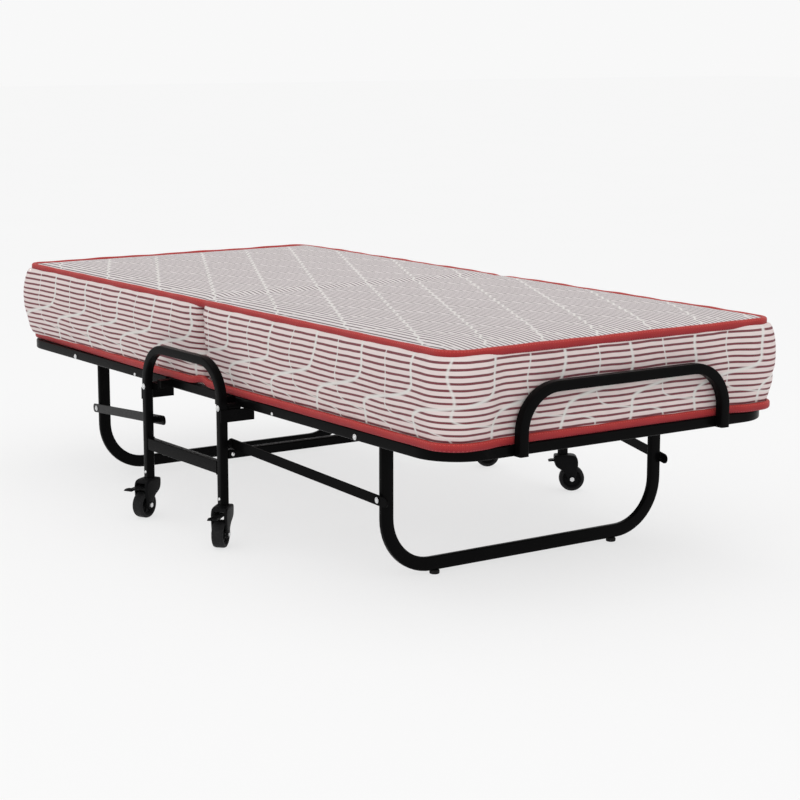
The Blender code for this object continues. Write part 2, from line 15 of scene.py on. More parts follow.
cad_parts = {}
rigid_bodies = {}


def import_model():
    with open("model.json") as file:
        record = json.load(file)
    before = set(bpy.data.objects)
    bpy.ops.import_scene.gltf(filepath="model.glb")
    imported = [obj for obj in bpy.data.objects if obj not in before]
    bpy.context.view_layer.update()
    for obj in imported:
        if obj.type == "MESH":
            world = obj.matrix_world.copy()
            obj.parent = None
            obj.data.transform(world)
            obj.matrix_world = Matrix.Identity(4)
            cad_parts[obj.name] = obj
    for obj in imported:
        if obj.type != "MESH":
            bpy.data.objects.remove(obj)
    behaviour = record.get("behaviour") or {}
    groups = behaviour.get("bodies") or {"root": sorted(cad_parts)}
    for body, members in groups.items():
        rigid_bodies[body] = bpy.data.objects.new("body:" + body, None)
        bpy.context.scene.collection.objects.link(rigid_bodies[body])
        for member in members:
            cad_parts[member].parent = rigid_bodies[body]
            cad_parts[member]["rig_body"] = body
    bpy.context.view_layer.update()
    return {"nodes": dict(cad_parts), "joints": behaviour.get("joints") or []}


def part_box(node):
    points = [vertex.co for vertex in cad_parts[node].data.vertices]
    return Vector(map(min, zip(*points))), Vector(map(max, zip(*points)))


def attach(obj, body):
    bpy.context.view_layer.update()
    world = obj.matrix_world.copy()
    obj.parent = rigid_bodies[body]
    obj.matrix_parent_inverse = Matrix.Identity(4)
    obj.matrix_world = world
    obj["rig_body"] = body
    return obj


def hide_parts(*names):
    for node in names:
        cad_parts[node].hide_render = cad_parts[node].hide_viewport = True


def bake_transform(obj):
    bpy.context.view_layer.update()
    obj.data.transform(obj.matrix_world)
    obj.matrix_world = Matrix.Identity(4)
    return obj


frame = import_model()
ENDS = {"head": -1, "foot": 1}
SIDES = {"right": -1, "left": 1}

# %% [markdown]
# ## Camera
# The cot is seen from its foot end, a little above the mattress, through a long lens. A camera
# can be placed by three numbers and three angles, but an aim point with a heading and a height
# angle is easier to read: it says where the viewer stands.

# %% Place the camera
AIM = Vector((0.0, 0.1142, 0.2428))
HEADING = math.radians(55.15)
RISE = math.radians(10.17)
VIEW_DISTANCE = 4.989
LENS = 91.1

away = Vector((math.sin(HEADING) * math.cos(RISE), -math.cos(HEADING) * math.cos(RISE), math.sin(RISE)))
camera = bpy.data.objects.new("studio_camera", bpy.data.cameras.new("studio_camera"))
camera.data.lens = LENS
camera.rotation_mode = "QUATERNION"
camera.location = AIM + away * VIEW_DISTANCE
camera.rotation_quaternion = (-away).to_track_quat("-Z", "Y")
bpy.context.scene.collection.objects.link(camera)
bpy.context.scene.camera = camera
print("camera at", [round(v, 3) for v in camera.location])


# %% [markdown]
# ## Shader sums
# A stripe or a seam is a formula. Blender would draw it as a web of Math nodes, which is hard to
# read back. This small class wraps a socket, so that the formula can be written as a sum in
# Python, and each sign adds the node that it needs. `Finish.node` adds any other node.

# %% A socket that can be added, and a finish that holds a shader
class Socket:
    def __init__(self, finish, link):
        self.finish, self.link = finish, link

    def maths(self, operation, *others):
        inputs = dict(enumerate((self, *others)))
        return self.finish.node("Math", {"operation": operation}, inputs)

    def __add__(self, other):
        return self.maths("ADD", other)

    def __sub__(self, other):
        return self.maths("SUBTRACT", other)

    def __rsub__(self, other):
        return self.finish.node("Math", {"operation": "SUBTRACT"}, {0: other, 1: self})

    def __mul__(self, other):
        return self.maths("MULTIPLY", other)

    def __truediv__(self, other):
        return self.maths("DIVIDE", other)

    __radd__, __rmul__ = __add__, __mul__

    def clamp(self):
        return self.finish.node("Clamp", {}, {"Value": self})


class Finish:
    """A material in the making. Its shader's constants are set by name on their own sockets."""

    def __init__(self, name, **constants):
        self.material = bpy.data.materials.new(name)
        self.material.use_nodes = True
        self.tree = self.material.node_tree
        self.shader = self.tree.nodes["Principled BSDF"]
        for socket, value in constants.items():
            self.shader.inputs[socket.replace("_", " ")].default_value = value

    def node(self, kind, settings, inputs, output=0):
        """Adds a node: its settings first, then the value or the link of each socket."""
        made = self.tree.nodes.new("ShaderNode" + kind)
        for name, value in settings.items():
            setattr(made, name, value)
        for name, value in inputs.items():
            if isinstance(value, Socket):
                self.tree.links.new(value.link, made.inputs[name])
            else:
                made.inputs[name].default_value = value
        return Socket(self, made.outputs[output])

    def mix(self, factor, first, second):
        """Goes from one colour to another as factor goes from 0 to 1."""
        inputs = {0: factor, 6: first, 7: second}
        return self.node("Mix", {"data_type": "RGBA"}, inputs, output=2)

    def place(self):
        """Where the point is on the piece, in metres, in the row frame at rest."""
        return self.node("TexCoord", {}, {}, output=3)

    def noise(self, scale, detail=2.0, at=None, roughness=0.5):
        inputs = {"Vector": at or self.place(), "Scale": scale, "Detail": detail, "Roughness": roughness}
        return self.node("TexNoise", {}, inputs)

    def split(self, vector):
        return [self.node("SeparateXYZ", {}, {0: vector}, output=i) for i in range(3)]

    def feed(self, **links):
        for socket, value in links.items():
            self.tree.links.new(value.link, self.shader.inputs[socket.replace("_", " ")])

    def relief(self, height, distance, strength=1.0):
        """A height, 0 to 1, that is `distance` metres deep, turned into a bump."""
        inputs = {"Height": height, "Distance": distance, "Strength": strength}
        self.feed(Normal=self.node("Bump", {}, inputs))


def rgb(red, green, blue):
    return (red, green, blue, 1.0)


print("shader tools ready")


# %% [markdown]
# ## Black powder coat
# Powder coat is a thick baked plastic film on steel. It could be one black with one roughness,
# but the real film has three scales: a fine orange peel from the melted powder, soft patches
# where it is thicker, and a little pale dust and rubbing from use. Each scale is a noise.

# %% Powder coat
def black_powder_coat():
    coat = Finish("black_powder_coat", IOR=1.09, Coat_Roughness=0.12, Coat_IOR=1.15)
    patches = coat.noise(9.0, 3.0)
    rub = ((coat.noise(34.0, 6.0, roughness=0.7) - 0.60) * 7.0).clamp()
    peel = coat.noise(620.0, 1.0)
    grain = coat.noise(2400.0, 1.0)
    dark = coat.mix(patches, rgb(0.0016, 0.0016, 0.0018), rgb(0.0034, 0.0033, 0.0033))
    coat.feed(Base_Color=coat.mix(rub * 0.30, dark, rgb(0.012, 0.011, 0.011)),
              Roughness=0.24 + patches * 0.10 + rub * 0.10,
              Coat_Weight=0.13 - rub * 0.08)
    coat.relief(peel * 0.8 + grain * 0.2, 0.00022)
    return coat.material


POWDER_COAT = black_powder_coat()
print(POWDER_COAT.name)

# %% [markdown]
# ## Zinc plate
# Bolts and rivets are bright zinc: a grey metal with a crystal bloom and small turning marks.
# A Voronoi pattern gives the crystals and a stretched noise gives the marks.

# %% Zinc
def zinc_plate():
    zinc = Finish("zinc_plate", Metallic=1.0)
    bloom = zinc.node("TexVoronoi", {}, {"Vector": zinc.place(), "Scale": 900.0})
    tarnish = zinc.noise(160.0, 4.0)
    bright = zinc.mix(bloom, rgb(0.80, 0.80, 0.79), rgb(0.62, 0.63, 0.65))
    zinc.feed(Base_Color=zinc.mix(((tarnish - 0.5) * 3.0).clamp() * 0.5, bright, rgb(0.38, 0.36, 0.32)),
              Roughness=0.26 + tarnish * 0.16)
    zinc.relief(zinc.noise(1500.0, 3.0), 0.00008)
    return zinc.material


ZINC = zinc_plate()
print(ZINC.name)

# %% [markdown]
# ## Rubber and nylon
# The foot pads, the tyres and the caster housings are all black, yet they don't look alike. Rubber
# is dull with a dusty bloom, the tyre is a greyer compound with scuffs round its tread, and
# the moulded nylon has a fine spark-eroded grain with a soft sheen.

# %% Rubber and nylon
def rubber(name, dark, dusty, roughness, scuff_scale):
    made = Finish(name, IOR=1.14)
    dust = made.noise(42.0, 5.0, roughness=0.65)
    scuff = ((made.noise(scuff_scale, 4.0) - 0.52) * 5.0).clamp()
    made.feed(Base_Color=made.mix((dust * 0.7 + scuff * 0.4).clamp(), dark, dusty),
              Roughness=roughness + dust * 0.12 - scuff * 0.05)
    made.relief(made.noise(1300.0, 2.0) * 0.6 + made.noise(300.0, 2.0) * 0.4, 0.00018)
    return made.material


def caster_nylon():
    nylon = Finish("caster_plastic", IOR=1.14)
    cloud = nylon.noise(26.0, 3.0)
    grain = nylon.noise(2100.0, 2.0)
    nylon.feed(Base_Color=nylon.mix(cloud, rgb(0.0025, 0.0025, 0.0028), rgb(0.0065, 0.0065, 0.0070)),
               Roughness=0.36 + cloud * 0.12)
    nylon.relief(grain, 0.00012)
    return nylon.material


FOOT_RUBBER = rubber("foot_rubber", rgb(0.006, 0.006, 0.006), rgb(0.024, 0.023, 0.021), 0.66, 120.0)
TYRE_RUBBER = rubber("wheel_rubber", rgb(0.009, 0.009, 0.010), rgb(0.030, 0.030, 0.030), 0.48, 210.0)
NYLON = caster_nylon()
print(FOOT_RUBBER.name, TYRE_RUBBER.name, NYLON.name)

# %% [markdown]
# ## The quilting, as a formula
# The ticking is quilted twice. Round the border a pale thread runs down, jogs sideways at half
# height and runs on, and a fainter thread mirrors it. On the top and bottom panels two families of
# threads cross as long diamonds. The same formula has to press a groove into the mesh and paint
# the thread, so it is written once, for numbers and for sockets alike: `tanh` is the only step
# that the two do in their own way.

# %% Quilting lines, for numpy arrays and for sockets
STITCH_PITCH = 0.178          # between two threads along the border
DIAMOND_TURN = math.radians(27.5)
DIAMOND_PITCH = 0.2705 * math.sin(DIAMOND_TURN)
DIAMOND_START = 0.038 * math.sin(DIAMOND_TURN)
JOGS = ((1, 0.080, 0.0165, 0.05), (-1, 0.036, 0.0110, 0.139))   # direction, height, half length, start


def tanh(value):
    return value.maths("TANH") if isinstance(value, Socket) else np.tanh(value)


def sine(value):
    return value.maths("SINE") if isinstance(value, Socket) else np.sin(value)


def to_nearest(value):
    """How far the value is from the nearest whole number, from 0 to 0.5."""
    if isinstance(value, Socket):
        return (value.maths("FRACT") - 0.5).maths("ABSOLUTE").maths("MULTIPLY", -1.0) + 0.5
    return 0.5 - abs(value - np.floor(value) - 0.5)


def root(value):
    return value.maths("SQRT") if isinstance(value, Socket) else np.sqrt(value)


def border_thread(along, height, jog):
    """Metres from the point to the nearest border thread."""
    way, middle, half_length, start = jog
    turn = tanh((height - middle) / half_length)
    slope = (1 - turn * turn) * (way * STITCH_PITCH / 2 / half_length)
    line = start + turn * (way * STITCH_PITCH / 2) + sine(height * 62.0 + along * 9.0) * 0.0045
    across = to_nearest((along - line) / STITCH_PITCH) * STITCH_PITCH
    return across / root(slope * slope + 1)


def panel_thread(x, y, way):
    """Metres from the point to the nearest diamond thread, which is sewn in a slight zigzag."""
    line = x * math.sin(DIAMOND_TURN) + y * (way * math.cos(DIAMOND_TURN)) - DIAMOND_START
    run = x * math.cos(DIAMOND_TURN) - y * (way * math.sin(DIAMOND_TURN))
    zigzag = sine(run * (2 * math.pi / 0.055)) * 0.0028
    return to_nearest((line + zigzag) / DIAMOND_PITCH) * DIAMOND_PITCH


def groove(distance, width):
    return np.exp(-(distance / width) ** 2)


print("diamonds are", round(DIAMOND_PITCH * 1000), "mm across")

# %% [markdown]
# ## Striped ticking
# Ticking is a tight cotton twill, here pale with maroon stripes 13 mm apart. The stripes are
# painted on the cloth's own measure, the UV map, which holds metres along and up the panel. The
# pale quilting thread covers the stripes it crosses.

# %% Ticking, for the border and for the two panels
STRIPE_PITCH = 0.0130
CLOTH_MAP = "cloth"


def ticking(name, thread_of, main_width, wander, stripe_share, grounds, maroons):
    cloth = Finish(name, IOR=1.25, Sheen_Weight=0.12, Sheen_Roughness=0.45)
    at = cloth.node("UVMap", {"uv_map": CLOTH_MAP}, {})
    along, up, _ = cloth.split(at)
    drift = cloth.noise(14.0, 2.0, at) * wander
    wave = ((up + drift) * (2 * math.pi / STRIPE_PITCH)).maths("COSINE")
    stripe = ((wave - math.cos(math.pi * stripe_share)) * 2.6 + 0.5).clamp()
    main, faint = thread_of(along, up)
    thread = (1.35 - main * (1 / main_width)).clamp()
    if faint is not None:
        thread = thread.maths("MAXIMUM", (1.20 - faint * (1 / 0.0025)).clamp() * 0.88)
    twill = sine((along + up) * (2 * math.pi / 0.0011)) * sine((along - up) * (2 * math.pi / 0.0016))
    slub = cloth.noise(650.0, 3.0, at)
    worn = cloth.noise(7.0, 4.0, at)
    ground = cloth.mix(worn, *grounds)
    maroon = cloth.mix(cloth.noise(60.0, 2.0, at), *maroons)
    woven = cloth.mix(stripe * (0.82 + slub * 0.30), ground, maroon)
    yarn = cloth.mix(slub, rgb(0.850, 0.830, 0.800), rgb(0.720, 0.695, 0.670))
    cloth.feed(Base_Color=cloth.mix(thread * 0.94, woven, yarn),
               Roughness=0.78 + slub * 0.14 - thread * 0.12)
    cloth.relief(twill * 0.22 + slub * 0.30 + thread * 0.45 - stripe * 0.12, 0.00075)
    return cloth.material


def border_threads(along, up):
    return [border_thread(along, up, jog) for jog in JOGS]


def panel_threads(x, y):
    return panel_thread(x, y, 1), panel_thread(x, y, -1)


BORDER_TICKING = ticking("ticking_border", border_threads, 0.0040, 0.0030, 0.37,
                         (rgb(0.850, 0.735, 0.715), rgb(0.740, 0.635, 0.620)),
                         (rgb(0.105, 0.024, 0.032), rgb(0.240, 0.044, 0.060)))
PANEL_TICKING = ticking("ticking_panel", panel_threads, 0.0027, 0.0006, 0.30,
                        (rgb(0.790, 0.735, 0.730), rgb(0.700, 0.650, 0.648)),
                        (rgb(0.075, 0.050, 0.056), rgb(0.130, 0.078, 0.090)))
print(BORDER_TICKING.name, PANEL_TICKING.name)

# %% [markdown]
# ## Red binding tape
# A knitted tape wraps the two seams of the mattress. Close up it shows small knit ribs and a row of
# stitches along each edge. Its red is painted with shade: darker maroon towards its lower edge and
# brighter along its top.

# %% Tape
TAPE_HIGH = 0.0185
TAPE_DEEP = 0.013


def binding_tape():
    tape = Finish("binding_tape", IOR=1.28, Sheen_Weight=0.03, Sheen_Roughness=0.4)
    at = tape.node("UVMap", {"uv_map": CLOTH_MAP}, {})
    along, up, _ = tape.split(at)
    ribs = sine(along * (2 * math.pi / 0.0030) + sine(up * (2 * math.pi / 0.0044)) * 1.6)
    edge = (up.maths("ABSOLUTE") - TAPE_HIGH * 0.33).maths("ABSOLUTE")
    stitch_row = (1.3 - edge * (1 / 0.0009)).clamp()
    stitches = (sine(along * (2 * math.pi / 0.0065)) * 3.0).clamp() * stitch_row
    fuzz = tape.noise(900.0, 3.0, at)
    # Painted shade: the red darkens to maroon towards the tape's lower edge and is brighter at its top, and
    # a slow noise wobbles the line between.
    shade = tape.noise(16.0, 3.0, at)
    under = (0.45 - up * (1 / TAPE_HIGH) + (shade - 0.5) * 0.5).clamp()
    red = tape.mix(under, rgb(0.580, 0.050, 0.040), rgb(0.270, 0.012, 0.026))
    knit = tape.mix((ribs * 0.5 + 0.5) * 0.40 + fuzz * 0.25, red, rgb(0.130, 0.008, 0.014))
    tape.feed(Base_Color=tape.mix(stitches * 0.5, knit, rgb(0.640, 0.120, 0.110)),
              Roughness=0.42 + fuzz * 0.20)
    tape.relief(ribs * 0.30 + 0.3 + fuzz * 0.25 - stitch_row * 0.30, 0.0010)
    return tape.material


BINDING_TAPE = binding_tape()
print(BINDING_TAPE.name)


# %% [markdown]
# ## Keeping CAD pieces, and adding new ones
# A CAD node whose shape is right only needs its finish, which is put in its material slot. A new
# piece is a mesh object in the row frame that rides on one of the CAD bodies. `add` does both
# the riding and the standing-in, so that no piece is left behind when the cot folds.


def dress(node_name, finish):
    materials = frame["nodes"][node_name].data.materials
    materials.clear()
    materials.append(finish)


def new_mesh(bm, name, sharp=35.0):
    """The finished mesh: faces out, smooth, with edges over the angle left sharp."""
    bmesh.ops.recalc_face_normals(bm, faces=bm.faces)
    mesh = bpy.data.meshes.new(name)
    bm.to_mesh(mesh)
    bm.free()
    mesh.shade_smooth()
    mesh.set_sharp_from_angle(angle=math.radians(sharp))
    return mesh


def add(name, mesh, finish, body, stands_for=()):
    piece = bpy.data.objects.new(name, mesh)
    bpy.context.scene.collection.objects.link(piece)
    mesh.materials.append(finish)
    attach(piece, body)
    if stands_for:
        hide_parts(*stands_for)
    return piece


# %% [markdown]
# ## Bent square tube
# The hoops, rails and legs are square tube with softly rounded edges, bent round a die. A curve
# with a bevel would give a round tube, and a square bevel profile twists at some bends. Here the
# section is carried along a flat path by hand: at each point it stands square to the path.

# %% Sections, paths and sweeps
TUBE_EDGE = 0.0032            # how far the edges of square tube are rounded


def rounded_section(wide, high, radius, steps=4):
    """A rounded rectangle's outline, anticlockwise, as (across, up) pairs."""
    points = []
    for quarter, (a, b) in enumerate(((1, 1), (-1, 1), (-1, -1), (1, -1))):
        for i in range(steps + 1):
            angle = math.radians(90 * quarter + 90 * i / steps)
            points.append((a * (wide / 2 - radius) + radius * math.cos(angle),
                           b * (high / 2 - radius) + radius * math.sin(angle)))
    return points


def u_path(half, open_end, closed_end, radius, steps=14):
    """The centre line of a U in its own plane: two arms at +-half that join at closed_end."""
    way = 1 if closed_end > open_end else -1
    corner = [(half - radius + radius * math.cos(a), closed_end - way * (radius - radius * math.sin(a)))
              for a in (math.radians(90 * i / steps) for i in range(steps + 1))]
    arm = [(half, open_end)] + corner
    return arm + [(-x, h) for x, h in reversed(arm)]


def swept(bm, path, normal, section):
    """Adds a solid with that section, carried along a flat path. normal is square to the path's plane."""
    path = [Vector(p) for p in path]
    rings = []
    for i, point in enumerate(path):
        before, after = path[max(i - 1, 0)], path[min(i + 1, len(path) - 1)]
        side = normal.cross((after - before).normalized())
        rings.append([bm.verts.new(point + side * a + normal * b) for a, b in section])
    for near, far in zip(rings, rings[1:]):
        for k in range(len(section)):
            bm.faces.new((near[k - 1], near[k], far[k], far[k - 1]))
    bm.faces.new(rings[0])
    bm.faces.new(reversed(rings[-1]))


def turned(bm, profile, matrix=Matrix.Identity(4), steps=40):
    """Adds a solid turned about the matrix's Z axis from a profile of (radius, height)."""
    rings = []
    for radius, height in profile:
        count = 1 if radius == 0 else steps
        angles = [2 * math.pi * i / steps for i in range(count)]
        rings.append([bm.verts.new(matrix @ Vector((radius * math.cos(a), radius * math.sin(a), height)))
                      for a in angles])
    for one, two in zip(rings, rings[1:]):
        for i in range(steps):
            corners = [one[i - 1 if len(one) > 1 else 0], one[i if len(one) > 1 else 0],
                       two[i if len(two) > 1 else 0], two[i - 1 if len(two) > 1 else 0]]
            bm.faces.new(list(dict.fromkeys(corners)))


def outward(point, side):
    """A frame at the point whose Z axis points out along Y, on the given side."""
    turn = Vector((0, side, 0)).to_track_quat("Z", "X").to_matrix().to_4x4()
    return Matrix.Translation(point) @ turn


def tube_piece(name, path, normal, wide, high, stands_for, body, edge=TUBE_EDGE):
    bm = bmesh.new()
    swept(bm, path, Vector(normal), rounded_section(wide, high, edge))
    return add(name, new_mesh(bm, name), POWDER_COAT, body, stands_for)


print("a tube section has", len(rounded_section(0.02, 0.02, 0.003)), "points")

# %% [markdown]
# ## Wheel frame
# On each side an upright hoop carries two casters, a crossbar ties its feet, and one cross tube
# ties the two hoops together. The links turn on studs welded to the inner face of each hoop, so
# each stud belongs to its hoop's piece. A weld bead closes each joint of bar and tube.

# %% Hoops, crossbars and the cross tube
FRAME_TUBE = 0.020
HOOP_BEND = 0.085
STUD_PROFILE = [(0, 0.0008), (0.0082, 0.0008), (0.0082, -0.0108), (0.0050, -0.0108), (0.0050, -0.0186),
                (0.0078, -0.0186), (0.0078, -0.0208), (0.0060, -0.0222), (0, -0.0226)]
BAR_EDGE = 0.0025
CROSS_TUBE_EDGE = 0.0028
BEAD_LUMPS = 12               # lumps of weld along each side of a bar
BEAD_RADIUS, BEAD_WAVER = 0.0018, 0.0005


def weld_bead(bm, centre, half_x, half_z, normal_side):
    """A lumpy ring of weld round the foot of a bar that meets a flat face, square to X."""
    corners = [(half_z, half_x), (-half_z, half_x), (-half_z, -half_x), (half_z, -half_x)]
    for (z0, y0), (z1, y1) in zip(corners, corners[1:] + corners[:1]):
        for i in range(BEAD_LUMPS):
            t = i / BEAD_LUMPS
            lump = BEAD_RADIUS + BEAD_WAVER * math.sin(2.4 * i)
            at = centre + Vector((normal_side * 0.0004, y0 + (y1 - y0) * t, z0 + (z1 - z0) * t))
            bmesh.ops.create_icosphere(bm, subdivisions=1, radius=lump, matrix=Matrix.Translation(at))


hoop_low, hoop_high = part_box("wheel_hoop_left")
HOOP_HALF = hoop_high.x - FRAME_TUBE / 2
HOOP_Y = hoop_high.y - FRAME_TUBE / 2
link_joint = next(j for j in frame["joints"] if j["name"] == "foot_link_swing")
STUD_Z = link_joint["pos_m"][2]
for side_name, side in SIDES.items():
    path = [(x, side * HOOP_Y, z)
            for x, z in u_path(HOOP_HALF, hoop_low.z, hoop_high.z - FRAME_TUBE / 2, HOOP_BEND)]
    bm = bmesh.new()
    swept(bm, path, Vector((0, 1, 0)), rounded_section(FRAME_TUBE, FRAME_TUBE, TUBE_EDGE))
    for end in ENDS.values():
        stud_foot = (end * HOOP_HALF, side * (HOOP_Y - FRAME_TUBE / 2), STUD_Z)
        turned(bm, STUD_PROFILE, outward(stud_foot, side), 28)
    name = f"wheel_hoop_{side_name}"
    add(f"{name}_tube", new_mesh(bm, name), POWDER_COAT, "wheel_frame", [name])

    low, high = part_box(f"hoop_crossbar_{side_name}")
    middle = (low + high) / 2
    bm = bmesh.new()
    swept(bm, [(low.x, middle.y, middle.z), (high.x, middle.y, middle.z)], Vector((0, 0, 1)),
          rounded_section(high.y - low.y, high.z - low.z, BAR_EDGE))
    for end in ENDS.values():
        weld_bead(bm, Vector((end * high.x, middle.y, middle.z)), (high.y - low.y) / 2,
                  (high.z - low.z) / 2, -end)
    name = f"hoop_crossbar_{side_name}"
    add(f"{name}_bar", new_mesh(bm, name), POWDER_COAT, "wheel_frame", [name])

low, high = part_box("wheel_frame_cross_tube")
middle = (low + high) / 2
tube_piece("cross_tube", [(middle.x, low.y, middle.z), (middle.x, high.y, middle.z)], (0, 0, 1),
           high.x - low.x, high.z - low.z, ["wheel_frame_cross_tube"], "wheel_frame", CROSS_TUBE_EDGE)
for end_name in ENDS:
    for side_name in SIDES:
        dress(f"rest_bracket_{end_name}_{side_name}", POWDER_COAT)
for side_name in SIDES:
    dress(f"centre_rail_{side_name}", POWDER_COAT)
print("hoop half", round(HOOP_HALF, 4), "stud height", round(STUD_Z, 4))

# %% [markdown]
# ## Decks
# Each deck is a rail bent to a U in plan, with a lattice and a cross member inside it, and a hoop
# at its end that holds the mattress. The rail turns on the wheel frame, so it has a boss round
# each pivot bolt. The lattice and the cross member are flat bars that the CAD has right.

# %% Deck rails and end hoops
RAIL_TUBE = 0.022
RAIL_BEND = 0.089
END_BEND = 0.088

for end_name, end in ENDS.items():
    rail_low, rail_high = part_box(f"{end_name}_deck_rail")
    cross_low, cross_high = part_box(f"{end_name}_deck_cross_member")
    rail_half = cross_high.y + RAIL_TUBE
    start, stop = sorted((abs(rail_low.x), abs(rail_high.x)))
    level = rail_high.z - RAIL_TUBE / 2
    path = [(end * x, end * y, level)
            for y, x in u_path(rail_half - RAIL_TUBE / 2, start, stop - RAIL_TUBE / 2, RAIL_BEND)]
    bm = bmesh.new()
    swept(bm, path, Vector((0, 0, 1)), rounded_section(RAIL_TUBE, RAIL_TUBE, TUBE_EDGE))
    fold = next(j for j in frame["joints"] if j["name"] == f"{end_name}_fold")
    for side in SIDES.values():
        boss = [(0, rail_half - 0.001), (0.0094, rail_half - 0.001), (0.0094, rail_high.y - 0.0004),
                (0.0090, rail_high.y), (0, rail_high.y)]
        turned(bm, boss, outward((fold["pos_m"][0], 0, fold["pos_m"][2]), side), 32)
    add(f"{end_name}_deck_side_rail", new_mesh(bm, f"{end_name}_deck_rail"), POWDER_COAT,
        f"{end_name}_deck", [f"{end_name}_deck_rail"])

    low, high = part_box(f"{end_name}_end_hoop")
    path = [((low.x + high.x) / 2, y, z)
            for y, z in u_path(high.y - RAIL_TUBE / 2, low.z, high.z - RAIL_TUBE / 2, END_BEND)]
    tube_piece(f"{end_name}_mattress_hoop", path, (1, 0, 0), RAIL_TUBE, RAIL_TUBE,
               [f"{end_name}_end_hoop"], f"{end_name}_deck")
    dress(f"{end_name}_deck_grid", POWDER_COAT)
    dress(f"{end_name}_deck_cross_member", POWDER_COAT)
print("deck rails", round(start, 3), "to", round(stop, 3))

# %% [markdown]
# ## Legs, pads and links
# Each deck stands on a leg of flat tube bent to a U, with two rubber pads under its foot. A link on
# each side ties the leg to the hoop, so the leg folds as the deck rises. The link is a flat bar
# with round ends. A sweep would leave its ends square, so its outline is drawn whole, given its
# thickness and then bevelled.

# %% Legs, pads and links
LEG_WIDE, LEG_DEEP = 0.030, 0.015
LEG_BEND = 0.112
LEG_EDGE = 0.0042


def flat_bar(name, start, end, outer_half, round_past_start, round_past_end, thick):
    """A bar with round ends from one point to another, standing on edge."""
    along = (end - start).normalized()
    flat = along.cross(Vector((0, 1, 0))).normalized()
    face = along.cross(flat).normalized()
    low, high = -round_past_start + outer_half, (end - start).length + round_past_end - outer_half
    steps = 12
    outline = [(high + outer_half * math.cos(a), outer_half * math.sin(a))
               for a in (math.radians(-90 + 180 * i / steps) for i in range(steps + 1))]
    outline += [(low - outer_half * math.cos(a), -outer_half * math.sin(a))
                for a in (math.radians(-90 + 180 * i / steps) for i in range(steps + 1))]
    bm = bmesh.new()
    base = [bm.verts.new(start + along * a + flat * b - face * (thick / 2)) for a, b in outline]
    bottom = bm.faces.new(base)
    grown = bmesh.ops.extrude_face_region(bm, geom=[bottom])
    moved = [v for v in grown["geom"] if isinstance(v, bmesh.types.BMVert)]
    bmesh.ops.translate(bm, vec=face * thick, verts=moved)
    long_edges = [e for e in bm.edges if abs((e.verts[0].co - e.verts[1].co).dot(face)) < thick / 2]
    bmesh.ops.bevel(bm, geom=long_edges, offset=0.0006, segments=2, affect="EDGES")
    return new_mesh(bm, name, 40.0)


LINK_HIGH = 0.022
LINK_THICK = 0.004
LINK_TAIL = {"head": 0.055, "foot": 0.012}
LINK_TIP = 0.030
LINK_INSET = 0.0245           # from the middle of the hoop's tube in to the link on its stud
RIVET_TO_LINK = 0.0067        # from the rivet's outer face in to the link
for end_name, end in ENDS.items():
    low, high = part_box(f"{end_name}_leg")
    path = [((low.x + high.x) / 2, y, z)
            for y, z in u_path(high.y - LEG_WIDE / 2, high.z, low.z + LEG_WIDE / 2, LEG_BEND)]
    tube_piece(f"{end_name}_leg_tube", path, (1, 0, 0), LEG_WIDE, LEG_DEEP, [f"{end_name}_leg"],
               f"{end_name}_leg", LEG_EDGE)
    for side_name, side in SIDES.items():
        where = f"{end_name}_{side_name}"
        low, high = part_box(f"foot_pad_{where}")
        centre = Vector(((low.x + high.x) / 2, (low.y + high.y) / 2, low.z))
        radius, tall = (high.x - low.x) / 2, high.z - low.z
        pad = [(0, 0), (radius - 0.0022, 0), (radius - 0.0006, 0.0007), (radius, 0.0022),
               (radius, tall - 0.0012), (radius - 0.0012, tall), (0, tall)]
        bm = bmesh.new()
        turned(bm, pad, Matrix.Translation(centre))
        add(f"foot_pad_{where}_rubber", new_mesh(bm, "foot_pad"), FOOT_RUBBER, f"{end_name}_leg",
            [f"foot_pad_{where}"])

        low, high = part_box(f"link_rivet_{where}")
        middle = (low + high) / 2
        inner = Vector((end * HOOP_HALF, side * (HOOP_Y - LINK_INSET), STUD_Z))
        outer_y = side * (max(abs(low.y), abs(high.y)) - RIVET_TO_LINK)
        outer = Vector((middle.x, outer_y, middle.z))
        mesh = flat_bar(f"link_{where}", inner, outer, LINK_HIGH / 2,
                        LINK_TAIL[end_name], LINK_TIP, LINK_THICK)
        add(f"link_{where}_bar", mesh, POWDER_COAT, f"{end_name}_links", [f"link_{where}"])
print("link from", [round(v, 3) for v in inner], "to", [round(v, 3) for v in outer])

# %% [markdown]
# ## Bolts and rivets
# Every fastener is turned: a low dome on a washer outside, and a hexagonal nut inside. Turning with
# six steps gives the hexagon. The pivots stand where the CAD's bolts are, so only the shapes of
# their heads and nuts are given here.

# %% Fasteners
HEX = 6
DECK_BOLT = {"head_radius": 0.0048, "head_high": 0.0036, "nut_radius": 0.0066, "nut_high": 0.0048,
             "shank": 0.0040}
LEG_BOLT = {"head_radius": 0.0042, "head_high": 0.0031, "nut_radius": 0.0064, "nut_high": 0.0043,
            "shank": 0.0036}
LINK_PIN = {"head_radius": 0.0044, "head_high": 0.0030, "nut_radius": 0.0034, "nut_high": 0.0010,
            "shank": 0.0028, "washer": 0.0006}


def dome(radius, high, washer=0.0):
    """A domed head's profile, from its crown down to the face at height 0."""
    curve = [(radius * math.sin(a), washer + high * math.cos(a))
             for a in (math.radians(90 * i / 7) for i in range(8))]
    rim = []
    if washer:
        rim = [(radius + 0.0018, washer), (radius + 0.0022, washer * 0.5), (radius + 0.0022, 0.0)]
    return curve + rim + [(0.0, 0.0)]


def ring_of(node_name, side):
    """The frame of a fastener: on its own axis, at its outermost face along Y."""
    low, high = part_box(node_name)
    return Vector(((low.x + high.x) / 2, high.y if side > 0 else low.y, (low.z + high.z) / 2)), low, high


